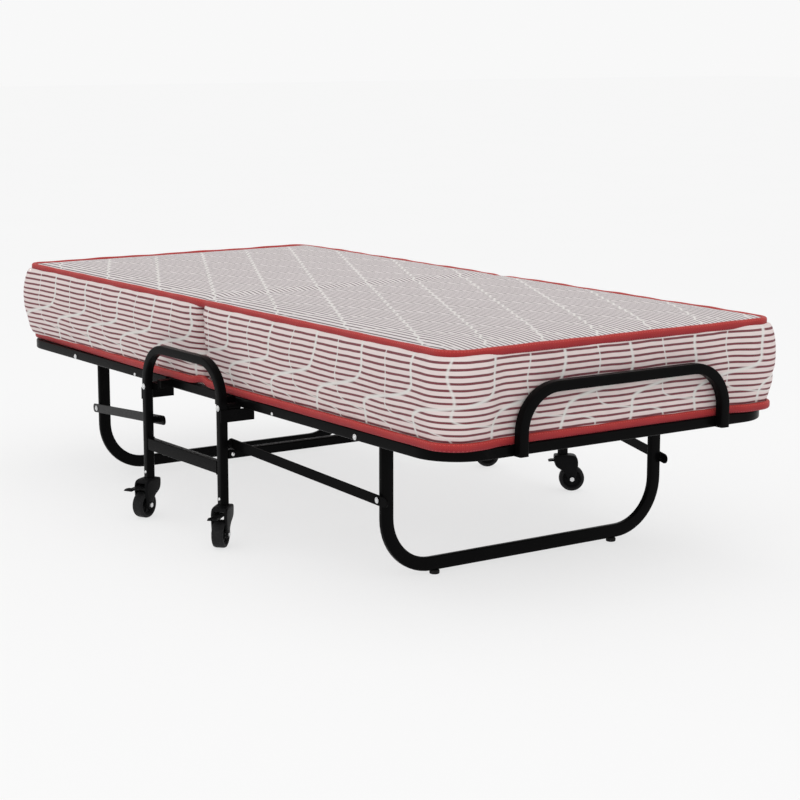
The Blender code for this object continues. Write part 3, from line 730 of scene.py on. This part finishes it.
def fastener(name, node_name, side, body,
             head_radius, head_high, nut_radius, nut_high, shank, washer=0.0008):
    tip, low, high = ring_of(node_name, side)
    length = high.y - low.y
    bm = bmesh.new()
    seat = outward(tip - Vector((0, side * (head_high + washer), 0)), side)
    turned(bm, dome(head_radius, head_high, washer), seat)
    turned(bm, [(0, 0.0), (shank, 0.0), (shank, -length + nut_high), (0, -length + nut_high)], seat, 20)
    back = head_high + washer - length
    nut = [(0, back + nut_high), (nut_radius, back + nut_high), (nut_radius, back), (0, back)]
    turned(bm, nut, seat, HEX)
    add(name, new_mesh(bm, name), ZINC, body, [node_name])


for end_name in ENDS:
    for side_name, side in SIDES.items():
        where = f"{end_name}_{side_name}"
        fastener(f"deck_pivot_{where}", f"deck_pivot_bolt_{where}", side, "wheel_frame", **DECK_BOLT)
        fastener(f"leg_pivot_{where}", f"leg_pivot_bolt_{where}", side, f"{end_name}_deck", **LEG_BOLT)
        fastener(f"link_pin_{where}", f"link_rivet_{where}", side, f"{end_name}_links", **LINK_PIN)

# %% [markdown]
# ## Screw heads
# Plain screws hold the caster stems, each deck's cross member and the cross tube. Only their heads
# show, so each is a dome on the tube's face. Heads of one kind that ride together are one piece.

# %% Screw heads
STEM_SCREW = dome(0.0042, 0.0024)
RAIL_SCREW = dome(0.0040, 0.0024)
CROSS_SCREW = dome(0.0046, 0.0026)
SCREW_STEPS = 28
STEM_SCREW_Z = 0.106
RAIL_SCREW_RISE = 0.0085      # above the cross member's lower face
CROSS_SCREW_IN = 0.011        # from the cross tube's end

bm = bmesh.new()
for end in ENDS.values():
    for side in SIDES.values():
        face = (end * HOOP_HALF, side * (HOOP_Y + FRAME_TUBE / 2), STEM_SCREW_Z)
        turned(bm, STEM_SCREW, outward(face, side), SCREW_STEPS)
add("stem_screws", new_mesh(bm, "stem_screws"), ZINC, "wheel_frame")
for end_name, end in ENDS.items():
    low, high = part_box(f"{end_name}_deck_cross_member")
    rail_face = high.y + RAIL_TUBE + 0.0003
    bm = bmesh.new()
    for side in SIDES.values():
        face = ((low.x + high.x) / 2, side * rail_face, low.z + RAIL_SCREW_RISE)
        turned(bm, RAIL_SCREW, outward(face, side), SCREW_STEPS)
    add(f"{end_name}_cross_member_screws", new_mesh(bm, "rail_screws"), ZINC, f"{end_name}_deck")
low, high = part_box("wheel_frame_cross_tube")
bm = bmesh.new()
for side in SIDES.values():
    face = Matrix.Translation((high.x, side * (high.y - CROSS_SCREW_IN), (low.z + high.z) / 2))
    turned(bm, CROSS_SCREW, face @ Matrix.Rotation(math.pi / 2, 4, "Y"), SCREW_STEPS)
add("cross_tube_screws", new_mesh(bm, "cross_tube_screws"), ZINC, "wheel_frame")

# %% [markdown]
# ## Casters
# A caster is a nylon hood on a swivelling stem, a wheel on an axle, and a brake pedal through the
# hood. The hood's side view is an outline with its corners cut twice, which turns a few points
# into a soft moulded shape. It is extruded with a round edge, and room for the wheel is cut out
# with a Boolean. Modelling it point by point would take longer and be harder to change.

# %% Outlines, slabs and cuts
TRAIL = 0.023
FORK_HALF = 0.019
FORK_TOP = 0.0925
WHEEL_RADIUS = 0.0315
WHEEL_HALF = 0.0135
LEVER_HALF = 0.011
CASTERS = {("head", "right"): (-63.8, 1, -0.006, 0.094), ("foot", "right"): (-46.9, 1, -0.006, 0.094),
           ("head", "left"): (63.8, 1, -0.006, 0.094), ("foot", "left"): (55.2, -1, 0.028, 0.064)}


def cut_corners(outline, rounds=2):
    """Softens a closed outline: each round cuts every corner at a quarter of its two sides."""
    for _ in range(rounds):
        pairs = list(zip(outline, outline[1:] + outline[:1]))
        outline = [tuple(p[i] * (1 - t) + q[i] * t for i in (0, 1)) for p, q in pairs for t in (0.25, 0.75)]
    return outline


def slab(name, outline, thick, edge):
    """A flat outline in XZ, given a thickness along Y and rounded long edges."""
    curve = bpy.data.curves.new(name, "CURVE")
    curve.dimensions = "2D"
    curve.fill_mode = "BOTH"
    curve.extrude = thick / 2 - edge
    curve.bevel_depth = edge
    curve.bevel_resolution = 3
    curve.offset = -edge
    spline = curve.splines.new("POLY")
    spline.points.add(len(outline) - 1)
    for point, (x, z) in zip(spline.points, outline):
        point.co = (x, z, 0, 1)
    spline.use_cyclic_u = True
    shape = bpy.data.objects.new(name, curve)
    bpy.context.scene.collection.objects.link(shape)
    graph = bpy.context.evaluated_depsgraph_get()
    mesh = bpy.data.meshes.new_from_object(shape.evaluated_get(graph))
    bpy.data.objects.remove(shape, do_unlink=True)
    bm = bmesh.new()
    bm.from_mesh(mesh)
    bmesh.ops.remove_doubles(bm, verts=bm.verts, dist=1e-5)
    bmesh.ops.transform(bm, matrix=Matrix.Rotation(math.pi / 2, 4, "X"), verts=bm.verts)
    return bm


def box_into(bm, low, high):
    made = bmesh.ops.create_cube(bm, size=1.0)["verts"]
    low, high = Vector(low), Vector(high)
    bmesh.ops.scale(bm, vec=high - low, verts=made)
    bmesh.ops.translate(bm, vec=(low + high) / 2, verts=made)


def cut(bm, name, boxes):
    """Cuts boxes out of a solid with a Boolean, and gives back the result as a bmesh."""
    solid = bpy.data.objects.new(name, new_mesh(bm, name))
    tool_bm = bmesh.new()
    for low, high in boxes:
        box_into(tool_bm, low, high)
    tool = bpy.data.objects.new(name + "_tool", new_mesh(tool_bm, name + "_tool"))
    for each in (solid, tool):
        bpy.context.scene.collection.objects.link(each)
    modifier = solid.modifiers.new("cut", "BOOLEAN")
    modifier.object = tool
    modifier.use_self = True
    graph = bpy.context.evaluated_depsgraph_get()
    result = bmesh.new()
    result.from_mesh(bpy.data.meshes.new_from_object(solid.evaluated_get(graph)))
    for each in (solid, tool):
        bpy.data.objects.remove(each, do_unlink=True)
    return result


print("wheel", round(2000 * WHEEL_RADIUS), "mm high,", round(2000 * WHEEL_HALF), "mm wide")

# %% [markdown]
# ### Hood and stem
# The hood is wide at the top, where it turns under the stem, and runs back to a boss round the
# axle: that offset makes the caster trail. Two boxes are cut out, for the wheel and the pedal.

# %% Hood and stem
BOSS_RADIUS = 0.0105
STEM_TOP = 0.1372
STEM_RADIUS = 0.0053


def fork_mesh():
    boss = [(TRAIL + BOSS_RADIUS * math.cos(a), WHEEL_RADIUS + BOSS_RADIUS * math.sin(a))
            for a in (math.radians(-180 * i / 5) for i in range(6))]
    outline = [(-0.0195, FORK_TOP), (0.022, FORK_TOP), (0.0335, 0.0890), (0.0385, 0.0780), (0.0382, 0.0600)]
    outline += boss + [(0.0035, 0.0500), (-0.015, 0.0600), (-0.0212, 0.0700), (-0.0222, 0.0880)]
    wheel_room = ((-0.04, -WHEEL_HALF - 0.0013, 0.0),
                  (0.06, WHEEL_HALF + 0.0013, 2 * WHEEL_RADIUS + 0.0025))
    pedal_room = ((-0.04, -0.0125, 0.0600), (0.06, 0.0125, 0.0840))
    bm = cut(slab("fork", cut_corners(outline), 2 * FORK_HALF, 0.0050), "fork", [wheel_room, pedal_room])
    turned(bm, [(0, FORK_TOP + 0.0004), (0.0150, FORK_TOP + 0.0004), (0.0158, FORK_TOP - 0.0010),
                (0.0158, FORK_TOP - 0.0030), (0, FORK_TOP - 0.0030)])
    for way in (-1, 1):
        rib = outward((TRAIL, way * (FORK_HALF - 0.0004), WHEEL_RADIUS), way)
        turned(bm, [(0, 0.0006), (0.0082, 0.0006), (0.0088, 0.0), (0.0088, -0.002), (0, -0.002)], rib, 32)
    return new_mesh(bm, "caster_hood", 38.0)


def stem_mesh():
    bm = bmesh.new()
    profile = [(0, STEM_TOP), (0.0045, STEM_TOP), (STEM_RADIUS, 0.1362), (STEM_RADIUS, FORK_TOP),
               (0, FORK_TOP)]
    turned(bm, profile, steps=28)
    return new_mesh(bm, "caster_stem")


HOOD, STEM = fork_mesh(), stem_mesh()
print("hood", len(HOOD.polygons), "faces, stem", len(STEM.polygons), "faces")

# %% [markdown]
# ### Tyre and hub
# The wheel is two pieces, a tyre and a ribbed hub, so that its turning can be seen. Both are
# turned from a profile that is mirrored about the wheel's middle.

# %% Tyre and hub
def tyre_mesh():
    """A tyre with a slightly crowned tread, rounded shoulders and a step down to the hub."""
    half = WHEEL_HALF
    face = [(0.0226, 0.0), (0.0226, 0.0096), (0.0232, 0.0108), (0.0242, half - 0.0004), (0.0252, half),
            (0.0280, half), (0.0300, half - 0.0009), (0.0311, half - 0.0030), (0.0315, half - 0.0062),
            (0.03150, 0.0)]
    profile = face + [(radius, -height) for radius, height in reversed(face[:-1])]
    bm = bmesh.new()
    turned(bm, profile, Matrix.Rotation(math.pi / 2, 4, "X"), 72)
    bmesh.ops.remove_doubles(bm, verts=bm.verts, dist=1e-6)
    return new_mesh(bm, "caster_tyre", 50.0)


def hub_mesh():
    bm = bmesh.new()
    upright = Matrix.Rotation(math.pi / 2, 4, "X")
    half = [(0.0044, 0.0122), (0.0088, 0.0122), (0.0094, 0.0114), (0.0098, 0.0080), (0.0190, 0.0074),
            (0.0200, 0.0094), (0.0222, 0.0098), (0.0225, 0.0090)]
    profile = half + [(radius, -height) for radius, height in reversed(half)]
    turned(bm, profile + profile[:1], upright, 60)
    bmesh.ops.remove_doubles(bm, verts=bm.verts, dist=1e-6)
    for i in range(6):
        for way in (-1, 1):
            rib = bmesh.ops.create_cube(bm, size=1.0)["verts"]
            bmesh.ops.scale(bm, vec=(0.0108, 0.0030, 0.0016), verts=rib)
            bmesh.ops.translate(bm, vec=(0.0146, way * 0.0085, 0), verts=rib)
            turn = Matrix.Rotation(math.radians(60 * i), 3, "Y")
            bmesh.ops.rotate(bm, cent=(0, 0, 0), matrix=turn, verts=rib)
    return new_mesh(bm, "caster_hub")


TYRE, HUB = tyre_mesh(), hub_mesh()
print("tyre", len(TYRE.polygons), "faces, hub", len(HUB.polygons), "faces")

# %% [markdown]
# ### Axle bolt and brake pedal
# The axle bolt has a domed head on one side and a nut on the other. One caster's pedal points the
# other way and is shorter than the rest, so a pedal is made to measure for each caster.

# %% Axle bolt and brake pedal
def axle_mesh(side):
    reach = FORK_HALF + 0.0003
    bm = bmesh.new()
    turned(bm, dome(0.0046, 0.0026, 0.0008), outward((0, side * reach, 0), side), 32)
    turned(bm, [(0, reach), (0.0040, reach), (0.0040, -reach), (0, -reach)], outward((0, 0, 0), side), 24)
    turned(bm, [(0, -reach), (0.0060, -reach), (0.0060, -reach - 0.0028), (0, -reach - 0.0028)],
           outward((0, 0, 0), side), HEX)
    return new_mesh(bm, "caster_axle")


def pedal_mesh(way, length):
    """The brake pedal: a bent plate with a curled tip and three grip ridges."""
    top = [(-0.004, 0.0030), (length - 0.043, 0.0016), (length - 0.026, 0.0010), (length - 0.014, 0.0042),
           (length - 0.004, 0.0034), (length, 0.0014)]
    under = [(length, -0.0008), (length - 0.013, 0.0004), (length - 0.026, -0.0024),
             (length - 0.043, -0.0018), (-0.004, -0.0026)]
    outline = [(way * x, z) for x, z in top + under]
    bm = slab("pedal", cut_corners(outline, 1), 2 * LEVER_HALF, 0.0007)
    for i in range(3):
        x = way * (length - 0.0150 + 0.0038 * i)
        box_into(bm, (x - 0.0006, -0.008, 0.0020), (x + 0.0006, 0.008, 0.0045))
    return new_mesh(bm, "brake_pedal", 38.0)


print("pedals", sorted({length for _, _, _, length in CASTERS.values()}), "m long")

# %% [markdown]
# ### Four casters in place
# Each caster stands under its foot of the hoop at its own angle, as casters do after the cot has
# been pushed. The meshes are copied and moved into the row frame, so that each piece can ride on
# its own body: the fork swivels, the wheel spins in it, and the pedal tips.

# %% Put the four casters together
LEVER_Z = 0.0755


def caster_piece(name, mesh, matrix, finish, body, stands_for=()):
    placed = mesh.copy()
    placed.transform(matrix)
    placed.materials.clear()
    return add(name, placed, finish, body, stands_for)


for (end_name, side_name), (degrees, way, lever_x, lever_length) in CASTERS.items():
    where = f"{end_name}_{side_name}"
    foot = Vector((ENDS[end_name] * HOOP_HALF, SIDES[side_name] * HOOP_Y, 0))
    stand = Matrix.Translation(foot) @ Matrix.Rotation(math.radians(degrees), 4, "Z")
    wheel = stand @ Matrix.Translation((TRAIL, 0, WHEEL_RADIUS))
    fork_body, wheel_body = f"caster_fork_{where}", f"caster_wheel_{where}"
    caster_piece(f"caster_hood_{where}", HOOD, stand, NYLON, fork_body, [f"caster_fork_{where}"])
    caster_piece(f"caster_stem_{where}", STEM, stand, ZINC, fork_body)
    axle = axle_mesh(-1 if side_name == "right" else 1)
    caster_piece(f"caster_axle_bolt_{where}", axle, wheel, ZINC, fork_body, [f"caster_axle_{where}"])
    caster_piece(f"caster_tyre_{where}", TYRE, wheel, TYRE_RUBBER, wheel_body, [f"caster_wheel_{where}"])
    caster_piece(f"caster_hub_{where}", HUB, wheel, NYLON, wheel_body)
    pedal_place = stand @ Matrix.Translation((lever_x, 0, LEVER_Z))
    caster_piece(f"brake_pedal_{where}", pedal_mesh(way, lever_length), pedal_place, NYLON,
                 f"brake_lever_{where}", [f"brake_lever_{where}"])
print("casters:", len(CASTERS))

# %% [markdown]
# ## Mattress body
# The mattress is one padded block with a crease at its middle, where the cot folds. It could be
# simulated as cloth, but thick foam is firm: its form is a crowned panel, a border that
# bulges between two taped seams, and grooves where it is quilted. These are formulas, so the mesh
# is a grid laid over the panel and down the border, and the formulas move its points. Each half is
# its own piece, and the halves meet in the crease.

# %% Sizes of the mattress
low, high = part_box("mattress_foot")
SEAM_X = high.x - 0.0035      # middle of the tape at the end
SEAM_Y = high.y - 0.0088
MATTRESS_THICK = 0.1985
MATTRESS_LOW, MATTRESS_HIGH = high.z - MATTRESS_THICK, high.z
CORNER = 0.045
BULGE = 0.0235
SWELL_LIFT = 1.45             # over 1, the bulge is fullest above the middle of the border
HEAD_SWELL, FOOT_SWELL = 0.0120, 0.0050    # more bulge where the border turns each end's corners
CROWN = 0.0128
CROWN_RUN = 0.095
END_CROWN = 2.2               # the crown rises this many times slower from the ends
TOP_SEAM_Z = MATTRESS_HIGH - TAPE_HIGH / 2
LOW_TAPE_HIGH = 0.0175
BOTTOM_SEAM_Z = MATTRESS_LOW + LOW_TAPE_HIGH / 2
END_ROOM = 0.0085             # how far the border may bulge at the end, short of the end hoop
HOOP_REACH = (0.300, 0.360)   # the end hoop ends at the first, and the bulge is full from the second
CREASE = 0.034
CREASE_LEAN = 0.022
UNDERSIDE = 0.0085            # from the lower seam down to the underside, which lies on the deck
PANEL_RISE = 0.004            # from the upper seam up to the edge of the top panel
BEND_END = 0.350              # a distance from the crease along X, in metres
print("panel", round(2 * SEAM_X, 3), "x", round(2 * SEAM_Y, 3), "m, crown", CROWN)

# %% [markdown]
# ### The panel's shape
# The panel is a rectangle with round corners. Its grid of points gets closer towards the corners,
# where it turns. The crown rises fast from the seam and then levels off, the quilting presses it
# down, and slow waves keep it from looking machined.

# %% Outline and crown of the panel
def half_width(x):
    """Half the panel's width at a distance from the crease: it narrows round the corner."""
    into = np.clip(x - (SEAM_X - CORNER), 0, CORNER)
    return SEAM_Y - CORNER + np.sqrt(np.maximum(CORNER ** 2 - into ** 2, 0))


def stations(columns, corner_columns):
    """Places along X: even along the side, then closer and closer round the corner."""
    side = np.linspace(0, SEAM_X - CORNER, columns, endpoint=False)
    angle = np.linspace(0, math.pi / 2, corner_columns + 1)
    return np.concatenate([side, SEAM_X - CORNER + CORNER * np.sin(angle)])


def unevenness(x, y, size):
    """Soft hollows of a stuffed surface, as a sum of slow waves."""
    return size * (0.40 * np.sin(9.1 * x + 4.0 * y) + 0.35 * np.sin(5.3 * x - 13.0 * y + 1.3)
                   + 0.25 * np.sin(21.0 * x + 17.0 * y + 0.6))


def panel_height(x, y):
    """How far the panel stands over its seam: a crown that falls to the seam, less its grooves."""
    reach = np.minimum((SEAM_X - np.abs(x)) / END_CROWN, SEAM_Y - np.abs(y))
    past_x = np.maximum(np.abs(x) - (SEAM_X - CORNER), 0)
    past_y = np.maximum(np.abs(y) - (SEAM_Y - CORNER), 0)
    corner = np.hypot(past_x, past_y)
    reach = np.maximum(np.minimum(reach, np.where(corner > 0, CORNER - corner, reach)), 0)
    rise = 1 - (1 - np.clip(reach / CROWN_RUN, 0, 1)) ** 2.6
    lines = np.minimum(panel_thread(x, y, 1), panel_thread(x, y, -1))
    sewn, wide = groove(lines, 0.009), groove(lines, 0.035)
    crease = groove(x, CREASE * 0.7)
    pressed = 0.0007 * sewn + 0.0003 * wide + 0.0050 * crease
    return (CROWN - pressed + unevenness(x, y, 0.0003)) * rise


print("the panel stands", round(1000 * float(panel_height(0.4, 0.0)), 1), "mm over its edge at x = 0.4")

# %% [markdown]
# ### The border's shape
# The border's UV map holds the way along the seam and the height, in metres. The same two numbers
# drive the bulge, so the grooves in the mesh lie under the painted threads. The bulge is held in
# behind the end hoop and pinched at the crease.

# %% Outline and bulge of the border
COLUMNS, CORNER_COLUMNS, ROWS, LEVELS = 110, 16, 104, 26


def border_offset(along, up, x, held):
    """How far the border stands out of the seam, and sags. held is 1 behind the end hoop."""
    tall = TOP_SEAM_Z - BOTTOM_SEAM_Z
    t = np.clip(up / tall, 0, 1)
    swell = np.sin(math.pi * t ** SWELL_LIFT) ** 0.33
    crease = 0.60 * groove(x, CREASE) + 1.60 * groove(x, CREASE * 0.22)
    room = BULGE + np.where(x < 0, HEAD_SWELL, FOOT_SWELL) * groove(np.abs(x) - SEAM_X, 0.060)
    room = room + (END_ROOM - room) * held
    folds = 0.0030 * np.sin(205.0 * up + 70.0 * np.abs(x)) * groove(np.abs(x) - 0.022, 0.018)
    threads = 0.0034 * groove(border_thread(along, up, JOGS[0]), 0.0095)
    threads = threads + 0.0012 * groove(border_thread(along, up, JOGS[1]), 0.0070)
    out = swell * (room * (1 - 1.35 * crease) - threads * (1 - 0.45 * held))
    out = out + swell * (unevenness(along, up * 2.3, 0.0014) * (1 - 0.6 * held) + folds)
    sag = (-0.0040 * crease + 0.0009 * np.sin(31.0 * along)) * np.sin(math.pi * t)
    return out, sag


def plan_loop(end):
    """The seam's outline in plan for one half, from the crease round the end and back."""
    xs = stations(COLUMNS, CORNER_COLUMNS)
    widths = half_width(xs)
    share = np.linspace(-1, 1, ROWS + 1)
    side = [(x, -w) for x, w in zip(xs, widths)]
    across = [(xs[-1], f * widths[-1]) for f in share[1:-1]]
    loop = np.array(side + across + [(x, -y) for x, y in reversed(side)])
    loop[:, 0] *= end
    return xs, widths, share, loop


def outward_of(loop):
    """The direction out of the seam at each point of the outline, in plan."""
    tangent = np.gradient(loop, axis=0)
    normal = np.stack([tangent[:, 1], -tangent[:, 0]], axis=1)
    normal /= np.linalg.norm(normal, axis=1)[:, None]
    centre = np.array([0.5 * loop[:, 0].max() + 0.5 * loop[:, 0].min(), 0.0])
    normal *= np.sign(np.sum(normal * (loop - centre), axis=1))[:, None]
    normal[0], normal[-1] = (0, -1), (0, 1)
    return normal


def behind_hoop(loop, normal):
    """1 where the end hoop holds the border in, 0 where it is free, and soft in between."""
    near, far = HOOP_REACH
    free = np.clip((np.abs(loop[:, 1]) - near) / (far - near), 0, 1)
    return (1 - free * free * (3 - 2 * free)) * (np.abs(normal[:, 0]) > 0.5)


print("the outline of a half has", len(plan_loop(1)[3]), "points")

# %% [markdown]
# ### Two halves
# Each half is a top panel, an underside, a border between them and a flat inner face at the
# crease.

# %% Build the two halves
def mattress_half(name, end):
    xs, widths, share, loop = plan_loop(end)
    normal = outward_of(loop)
    steps = np.linalg.norm(np.diff(loop, axis=0), axis=1)
    along = end * np.concatenate([[0], np.cumsum(steps)])
    held = behind_hoop(loop, normal)
    bm = bmesh.new()
    cloth = bm.loops.layers.uv.new(CLOTH_MAP)

    def panel(level, sign, finish_index):
        grid = []
        for x, w in zip(xs, widths):
            y = share * w
            z = level + panel_height(end * x + 0 * y, y) * (1.0 if sign > 0 else 0.0)
            grid.append([bm.verts.new((end * x, py, pz)) for py, pz in zip(y, z)])
        for i in range(len(grid) - 1):
            for j in range(len(share) - 1):
                corners = (grid[i][j], grid[i + 1][j], grid[i + 1][j + 1], grid[i][j + 1])
                face = bm.faces.new(corners)
                face.material_index = finish_index
                for corner in face.loops:
                    corner[cloth].uv = corner.vert.co.xy
        return [row[0] for row in grid] + grid[-1][1:-1] + [row[-1] for row in reversed(grid)], grid[0]

    top_loop, top_crease = panel(TOP_SEAM_Z + PANEL_RISE, 1, 1)
    bottom_loop, bottom_crease = panel(BOTTOM_SEAM_Z - UNDERSIDE, -1, 1)
    levels = np.linspace(0, TOP_SEAM_Z - BOTTOM_SEAM_Z, LEVELS + 1)
    rings = []
    for up in levels:
        out, sag = border_offset(along, up + 0 * along, loop[:, 0], held)
        spot = loop + normal * out[:, None]
        lean = CREASE_LEAN * (up / levels[-1] - 0.5) * groove(loop[:, 0], 0.050) * (loop[:, 1] < 0)
        spot[:, 0] -= lean
        rings.append([bm.verts.new((px, py, BOTTOM_SEAM_Z + up + s)) for (px, py), s in zip(spot, sag)])
    rings = [bottom_loop] + rings + [top_loop]
    heights = [levels[0] - UNDERSIDE] + list(levels) + [levels[-1] + PANEL_RISE]
    for k in range(len(rings) - 1):
        for i in range(len(loop) - 1):
            face = bm.faces.new((rings[k][i], rings[k][i + 1], rings[k + 1][i + 1], rings[k + 1][i]))
            for corner, (column, row) in zip(face.loops, ((i, k), (i + 1, k), (i + 1, k + 1), (i, k + 1))):
                corner[cloth].uv = (along[column], heights[row])
    near = [ring[0] for ring in rings[1:-1]]
    far = [ring[-1] for ring in rings[1:-1]]
    inner = bm.faces.new(bottom_crease + far + list(reversed(top_crease)) + list(reversed(near)))
    inner.material_index = 1
    return new_mesh(bm, name, 60.0)


def mattress_piece(name, mesh, end_name, finishes, stands_for=()):
    piece = bpy.data.objects.new(name, mesh)
    bpy.context.scene.collection.objects.link(piece)
    for finish in finishes:
        mesh.materials.append(finish)
    ENDS[end_name] * BEND_END
    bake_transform(piece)
    if stands_for:
        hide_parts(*stands_for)
    return piece


for end_name, end in ENDS.items():
    mesh = mattress_half(f"mattress_{end_name}_half", end)
    half = mattress_piece(f"mattress_{end_name}_half", mesh, end_name, [BORDER_TICKING, PANEL_TICKING],
                          [f"mattress_{end_name}", "mattress_middle"])
    print(half.name, len(mesh.vertices), "points")

# %% [markdown]
# ## Binding tape
# The tape is a flat roll sewn over each seam. It follows the seam's outline, so it is swept along
# it: at each point the section stands out from the seam. At the crease the tape kinks inwards,
# and the lower one lifts off the deck.

# %% Sweep the tapes
HEAD_TUCK = 0.70              # the lower tape is tucked in at the head and comes out over this length
# Each tape: its place, level, lift at the crease, how far it stands out, and height.
TAPES = (("top", TOP_SEAM_Z, -0.002, 0.0, TAPE_HIGH),
         ("bottom", BOTTOM_SEAM_Z, 0.006, 0.0115, LOW_TAPE_HIGH))


def tape_section(high, steps=6):
    """A flattened roll with a shallow waist between its two stitched edges, (out, up) pairs."""
    outline = rounded_section(TAPE_DEEP, high, TAPE_DEEP * 0.48, steps)
    return [(a * (1 - 0.10 * math.cos(math.pi * b / high)) if a > 0 else a, b) for a, b in outline]


def tape_mesh(name, end, level, lift, stand_out, high):
    _, _, _, loop = plan_loop(end)
    normal = outward_of(loop)
    held = behind_hoop(loop, normal)
    along = np.concatenate([[0], np.cumsum(np.linalg.norm(np.diff(loop, axis=0), axis=1))])
    section = tape_section(high)
    bm = bmesh.new()
    cloth = bm.loops.layers.uv.new(CLOTH_MAP)
    rings = []
    for i, ((x, y), (nx, ny)) in enumerate(zip(loop, normal)):
        crease = float(groove(x, CREASE * 0.8))
        ripple = 0.0009 * math.sin(23.0 * along[i]) + 0.0006 * math.sin(61.0 * along[i] + 1.1)
        untucked = 1.4 * float(np.clip((x + SEAM_X) / HEAD_TUCK, 0, 1)) - 0.4
        out = 0.0010 + ripple - 0.0060 * crease + stand_out * (1 - 0.85 * held[i]) * untucked
        z = level + lift * crease + 0.6 * ripple
        rings.append([bm.verts.new((x + nx * (out + a), y + ny * (out + a), z + b)) for a, b in section])
    count = len(section)
    for i in range(len(rings) - 1):
        for k in range(count):
            n = (k + 1) % count
            face = bm.faces.new((rings[i][k], rings[i][n], rings[i + 1][n], rings[i + 1][k]))
            for corner, (column, row) in zip(face.loops, ((i, k), (i, n), (i + 1, n), (i + 1, k))):
                corner[cloth].uv = (along[column], section[row][1])
    bm.faces.new(rings[0])
    bm.faces.new(list(reversed(rings[-1])))
    return new_mesh(bm, name, 60.0)


for end_name, end in ENDS.items():
    for place, level, lift, stand_out, high in TAPES:
        name = f"{place}_tape_{end_name}"
        mesh = tape_mesh(name, end, level, lift, stand_out, high)
        mattress_piece(name, mesh, end_name, [BINDING_TAPE])
print("tapes at", round(TOP_SEAM_Z, 3), "and", round(BOTTOM_SEAM_Z, 3))

# %% [markdown]
# ## Floor and light
# A plain studio: a pale floor, an even pale world, three wide soft lamps and a weak broad sun. A
# long strip above gives the black tubes a soft highlight, and a fill keeps the shaded side open.
# A white floor would show a strong shadow under the cot. This one is grey paper that also glows
# evenly: the glow makes it pale, and only the grey part darkens, so the shadow stays faint.

# %% Stage
FLOOR_GLOW = 0.675
AIR_STRENGTH = 0.94
SUN_STRENGTH = 0.26
SUN_SPREAD = math.radians(60)


def floor_finish():
    paper = Finish("floor_paper", Specular_IOR_Level=0.0, Emission_Strength=FLOOR_GLOW)
    tone = paper.noise(1.5, 2.0)
    paper.feed(Base_Color=paper.mix(tone, rgb(0.245, 0.245, 0.245), rgb(0.255, 0.255, 0.255)),
               Emission_Color=paper.mix(tone, rgb(1.0, 1.0, 1.0), rgb(0.998, 0.998, 0.998)),
               Roughness=0.75 + tone * 0.1)
    return paper.material


floor_bm = bmesh.new()
bmesh.ops.create_grid(floor_bm, x_segments=2, y_segments=2, size=40.0)
floor = bpy.data.objects.new("studio_floor", new_mesh(floor_bm, "studio_floor"))
floor.data.materials.append(floor_finish())
floor.location.z = -0.0005
bpy.context.scene.collection.objects.link(floor)

world = bpy.data.worlds.new("studio_air")
world.use_nodes = True
world.node_tree.nodes["Background"].inputs["Color"].default_value = rgb(1.0, 1.0, 1.0)
world.node_tree.nodes["Background"].inputs["Strength"].default_value = AIR_STRENGTH
bpy.context.scene.world = world


def soft_lamp(name, at, aim, wide, high, watts):
    lamp = bpy.data.lights.new(name, "AREA")
    lamp.shape = "RECTANGLE"
    lamp.size, lamp.size_y = wide, high
    lamp.energy = watts
    holder = bpy.data.objects.new(name, lamp)
    holder.location = at
    holder.rotation_mode = "QUATERNION"
    holder.rotation_quaternion = (Vector(aim) - Vector(at)).to_track_quat("-Z", "Y")
    bpy.context.scene.collection.objects.link(holder)
    return holder


soft_lamp("key_lamp", (2.2, -3.6, 2.8), (0, 0, 0.35), 1.2, 0.8, 14)
soft_lamp("top_strip", (-0.3, 0.6, 3.0), (0, 0, 0.4), 3.2, 0.4, 8)
soft_lamp("fill_lamp", (4.2, 1.4, 1.6), (0, 0, 0.3), 1.0, 0.6, 5)
sky = bpy.data.objects.new("sky_light", bpy.data.lights.new("sky_light", "SUN"))
sky.data.energy = SUN_STRENGTH
sky.data.angle = SUN_SPREAD
sky.rotation_euler = (math.radians(24), math.radians(14), 0)
bpy.context.scene.collection.objects.link(sky)
bpy.context.scene.view_settings.view_transform = "Standard"
